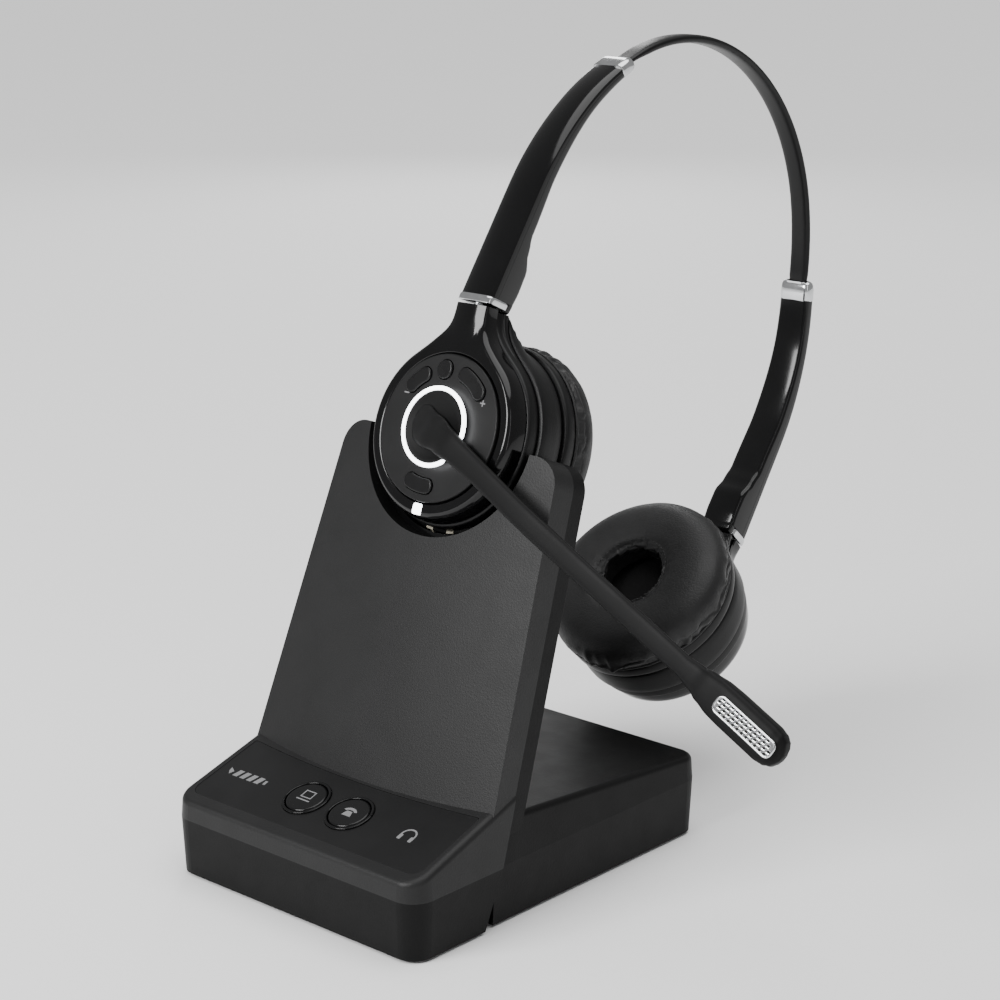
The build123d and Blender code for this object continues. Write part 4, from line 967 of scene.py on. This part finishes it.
def on_mic(boom, along, side, height):
    """A point over the microphone's middle line, measured along the grille from its inner end."""
    place, ahead, outward = boom_station(boom, GRILLE_START + along)
    across = outward.cross(ahead)
    return place + (across * side + outward * height) * MM


def within_grille(x, y):
    """The point itself, or the nearest one within the frame's rounded outline."""
    reach_x, reach_y, corner = GRILLE_LENGTH / 2 - 0.3, GRILLE_WIDTH / 2 - 0.3, 1.7
    cx = max(abs(x) - (reach_x - corner), 0)
    cy = max(abs(y) - (reach_y - corner), 0)
    away = math.hypot(cx, cy)
    if away > corner:
        cx, cy = cx * corner / away, cy * corner / away
    return (math.copysign(min(abs(x), reach_x - corner) + cx, x),
            math.copysign(min(abs(y), reach_y - corner) + cy, y))


def add_grille_frame(boom):
    """Raised bright frame let into the microphone."""
    sections = []
    frame_line = rounded_section(GRILLE_LENGTH, GRILLE_WIDTH, 2.0, 6)
    count = len(frame_line)
    for index in range(count):
        x, y = frame_line[index]
        px, py = frame_line[index - 1]
        nx, ny = frame_line[(index + 1) % count]
        tx, ty = nx - px, ny - py
        norm = math.hypot(tx, ty)
        ox, oy = ty / norm, -tx / norm
        ring = []
        for b in turns(8):
            out, rise = 0.36 * math.cos(b), 0.30 * math.sin(b)
            ring.append(on_mic(boom, GRILLE_LENGTH / 2 + x - ox * (0.36 - out), y - oy * (0.36 - out),
                               MIC_FACE + 0.22 + rise))
        sections.append(ring)
    make_piece("mic_grille_frame", *loft(sections, close=True), "mic_boom", "chrome", sharp=60)


def add_grille_plate(boom):
    """Plate of leaning cells; each holds one hole, save those the frame's outline cuts."""
    half = GRILLE_LENGTH / 2
    rows, pitch, row_pitch, lean = 4, 1.66, 1.16, 0.45
    points, faces = [], []
    for row in range(rows):
        for column in range(-8, 9):
            y0 = (row - (rows - 1) / 2) * row_pitch
            x0 = column * pitch + lean * pitch * (row - 1.5)
            if abs(x0) > half + pitch:
                continue
            open_here = abs(x0) < half - 1.15 and (abs(x0) < half - 1.9 or abs(y0) < 1)
            outer, inner, deep = [], [], []
            for k in range(8):
                c, s = polar(1, math.radians(45 * k))
                u = 0 if abs(c) < 0.1 else math.copysign(pitch / 2, c)
                v = 0 if abs(s) < 0.1 else math.copysign(row_pitch / 2, s)
                x, y = within_grille(x0 + u + lean * pitch * v / row_pitch, y0 + v)
                outer.append(on_mic(boom, half + x, y, MIC_FACE + 0.16))
                inner.append(on_mic(boom, half + x0 + 0.50 * c, y0 + 0.46 * s, MIC_FACE + 0.12))
                deep.append(on_mic(boom, half + x0 + 0.49 * c, y0 + 0.45 * s, MIC_FACE - 0.05))
            base = len(points)
            if open_here:
                points += outer + inner + deep
                for k in range(8):
                    n = (k + 1) % 8
                    faces.append((base + k, base + n, base + 8 + n, base + 8 + k))
                    faces.append((base + 8 + k, base + 8 + n, base + 16 + n, base + 16 + k))
            else:
                x, y = within_grille(x0, y0)
                points += outer + [on_mic(boom, half + x, y, MIC_FACE + 0.16)]
                faces += [(base + k, base + (k + 1) % 8, base + 8) for k in range(8)]
    make_piece("mic_grille_plate", points, faces, "mic_boom", "chrome", ["mic_grille"], sharp=60)


def add_boom():
    boom = near_cup.turned(BOOM_ANGLE)
    add_boom_blade(boom)
    add_boom_hub(boom)
    add_grille_frame(boom)
    add_grille_plate(boom)


# ---------------------------------------------------------------- small printed marks
PRINT_LEVEL = 7.58          # face of the cup's control disc
DECK_SLOPE = 18.2


def flat_mark(name, place, outlines, level, body, material):
    """Thin raised prints, one closed outline each."""
    points, faces = [], []
    for outline in outlines:
        base = len(points)
        count = len(outline)
        points += [place.at(x, y, level) for x, y in outline] + [place.at(x, y, level + 0.04) for x, y in outline]
        faces.append(tuple(base + k for k in range(count)))
        faces.append(tuple(base + count + k for k in range(count)))
        for k in range(count):
            n = (k + 1) % count
            faces.append((base + k, base + n, base + count + n, base + count + k))
    make_piece(name, points, faces, body, material, sharp=30)


def bar(x, y, length, width, angle):
    """Outline of a straight stroke."""
    c, s = polar(1, math.radians(angle))
    far, out = length / 2, width / 2
    return [(x + c * u - s * v, y + s * u + c * v) for u, v in ((-far, -out), (far, -out), (far, out), (-far, out))]


def add_marks():
    """Volume signs and status dot on the near cup, and the little window of the dock light."""
    x, y = polar(17.4, math.radians(151))
    minus = [bar(x, y, 1.9, 0.42, 0)]
    x, y = polar(17.4, math.radians(33))
    plus = [bar(x, y, 1.9, 0.42, 0), bar(x, y + 0.58, 0.42, 0.74, 0), bar(x, y - 0.58, 0.42, 0.74, 0)]
    flat_mark("volume_marks", near_cup, minus + plus, PRINT_LEVEL, "mic_side_cup", "deck_symbols")
    x, y = polar(24.3, math.radians(-92))
    sections = []
    for height, grow in ((6.4, 0), (6.95, 0), (7.12, -0.12), (7.2, -0.4)):
        line = rounded_section(3.5 + 2 * grow, 3.3 + 2 * grow, 0.7)
        sections.append([near_cup.at(x + u, y + v, height) for u, v in line])
    make_piece("dock_light_window", *loft(sections), "mic_side_cup", "light_white", ["dock_light"], sharp=50)
    x, y = polar(14.4, math.radians(-40))
    dot = [(x + u, y + v) for u, v in (polar(0.42, a) for a in turns(12))]
    flat_mark("status_dot", near_cup, [dot], PRINT_LEVEL, "mic_side_cup", "light_white")


def add_button_symbols():
    """Generic line symbols for computer and telephone on the two deck buttons."""
    slope = math.radians(DECK_SLOPE)
    normal = Vector((0, -math.sin(slope), math.cos(slope)))
    screen = [bar(0, 2.1, 4.2, 0.4, 0), bar(0, -0.7, 4.2, 0.4, 0), bar(-1.9, 0.7, 2.4, 0.4, 90),
              bar(1.9, 0.7, 2.4, 0.4, 90), bar(0, -1.9, 5.2, 0.45, 0)]
    upper = [math.radians(a) for a in range(20, 161, 10)]
    receiver = [(2.6 * math.cos(a), -0.3 + 1.9 * math.sin(a)) for a in upper]
    receiver += [(1.7 * math.cos(a), -0.3 + 0.95 * math.sin(a)) for a in reversed(upper)]
    phone = [receiver, [(-1.7, -2.0), (1.7, -2.0), (1.0, 0.1), (-1.0, 0.1)]]
    for name, outlines in (("computer_button", screen), ("phone_button", phone)):
        low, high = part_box(name)
        middle = (Vector(low) + Vector(high)) / 2
        top = max(vertex.co.dot(normal) for vertex in nodes[name].data.vertices)
        place = middle + normal * (top - middle.dot(normal))
        face = Frame(place, right, Vector((0, math.cos(slope), math.sin(slope))))
        flat_mark(name.replace("button", "symbol"), face, outlines, -0.01, name, "deck_symbols")


add_camera()
add_stage()
dress_frame()
for side in CUPS:
    add_fascia(side)
    add_casing(side)
    add_arm(side)
cover = cushion_points()
add_cushion("mic_side", cover, 0)
add_cushion("far", cover, 137)
add_headband()
add_boom()
add_marks()
add_button_symbols()
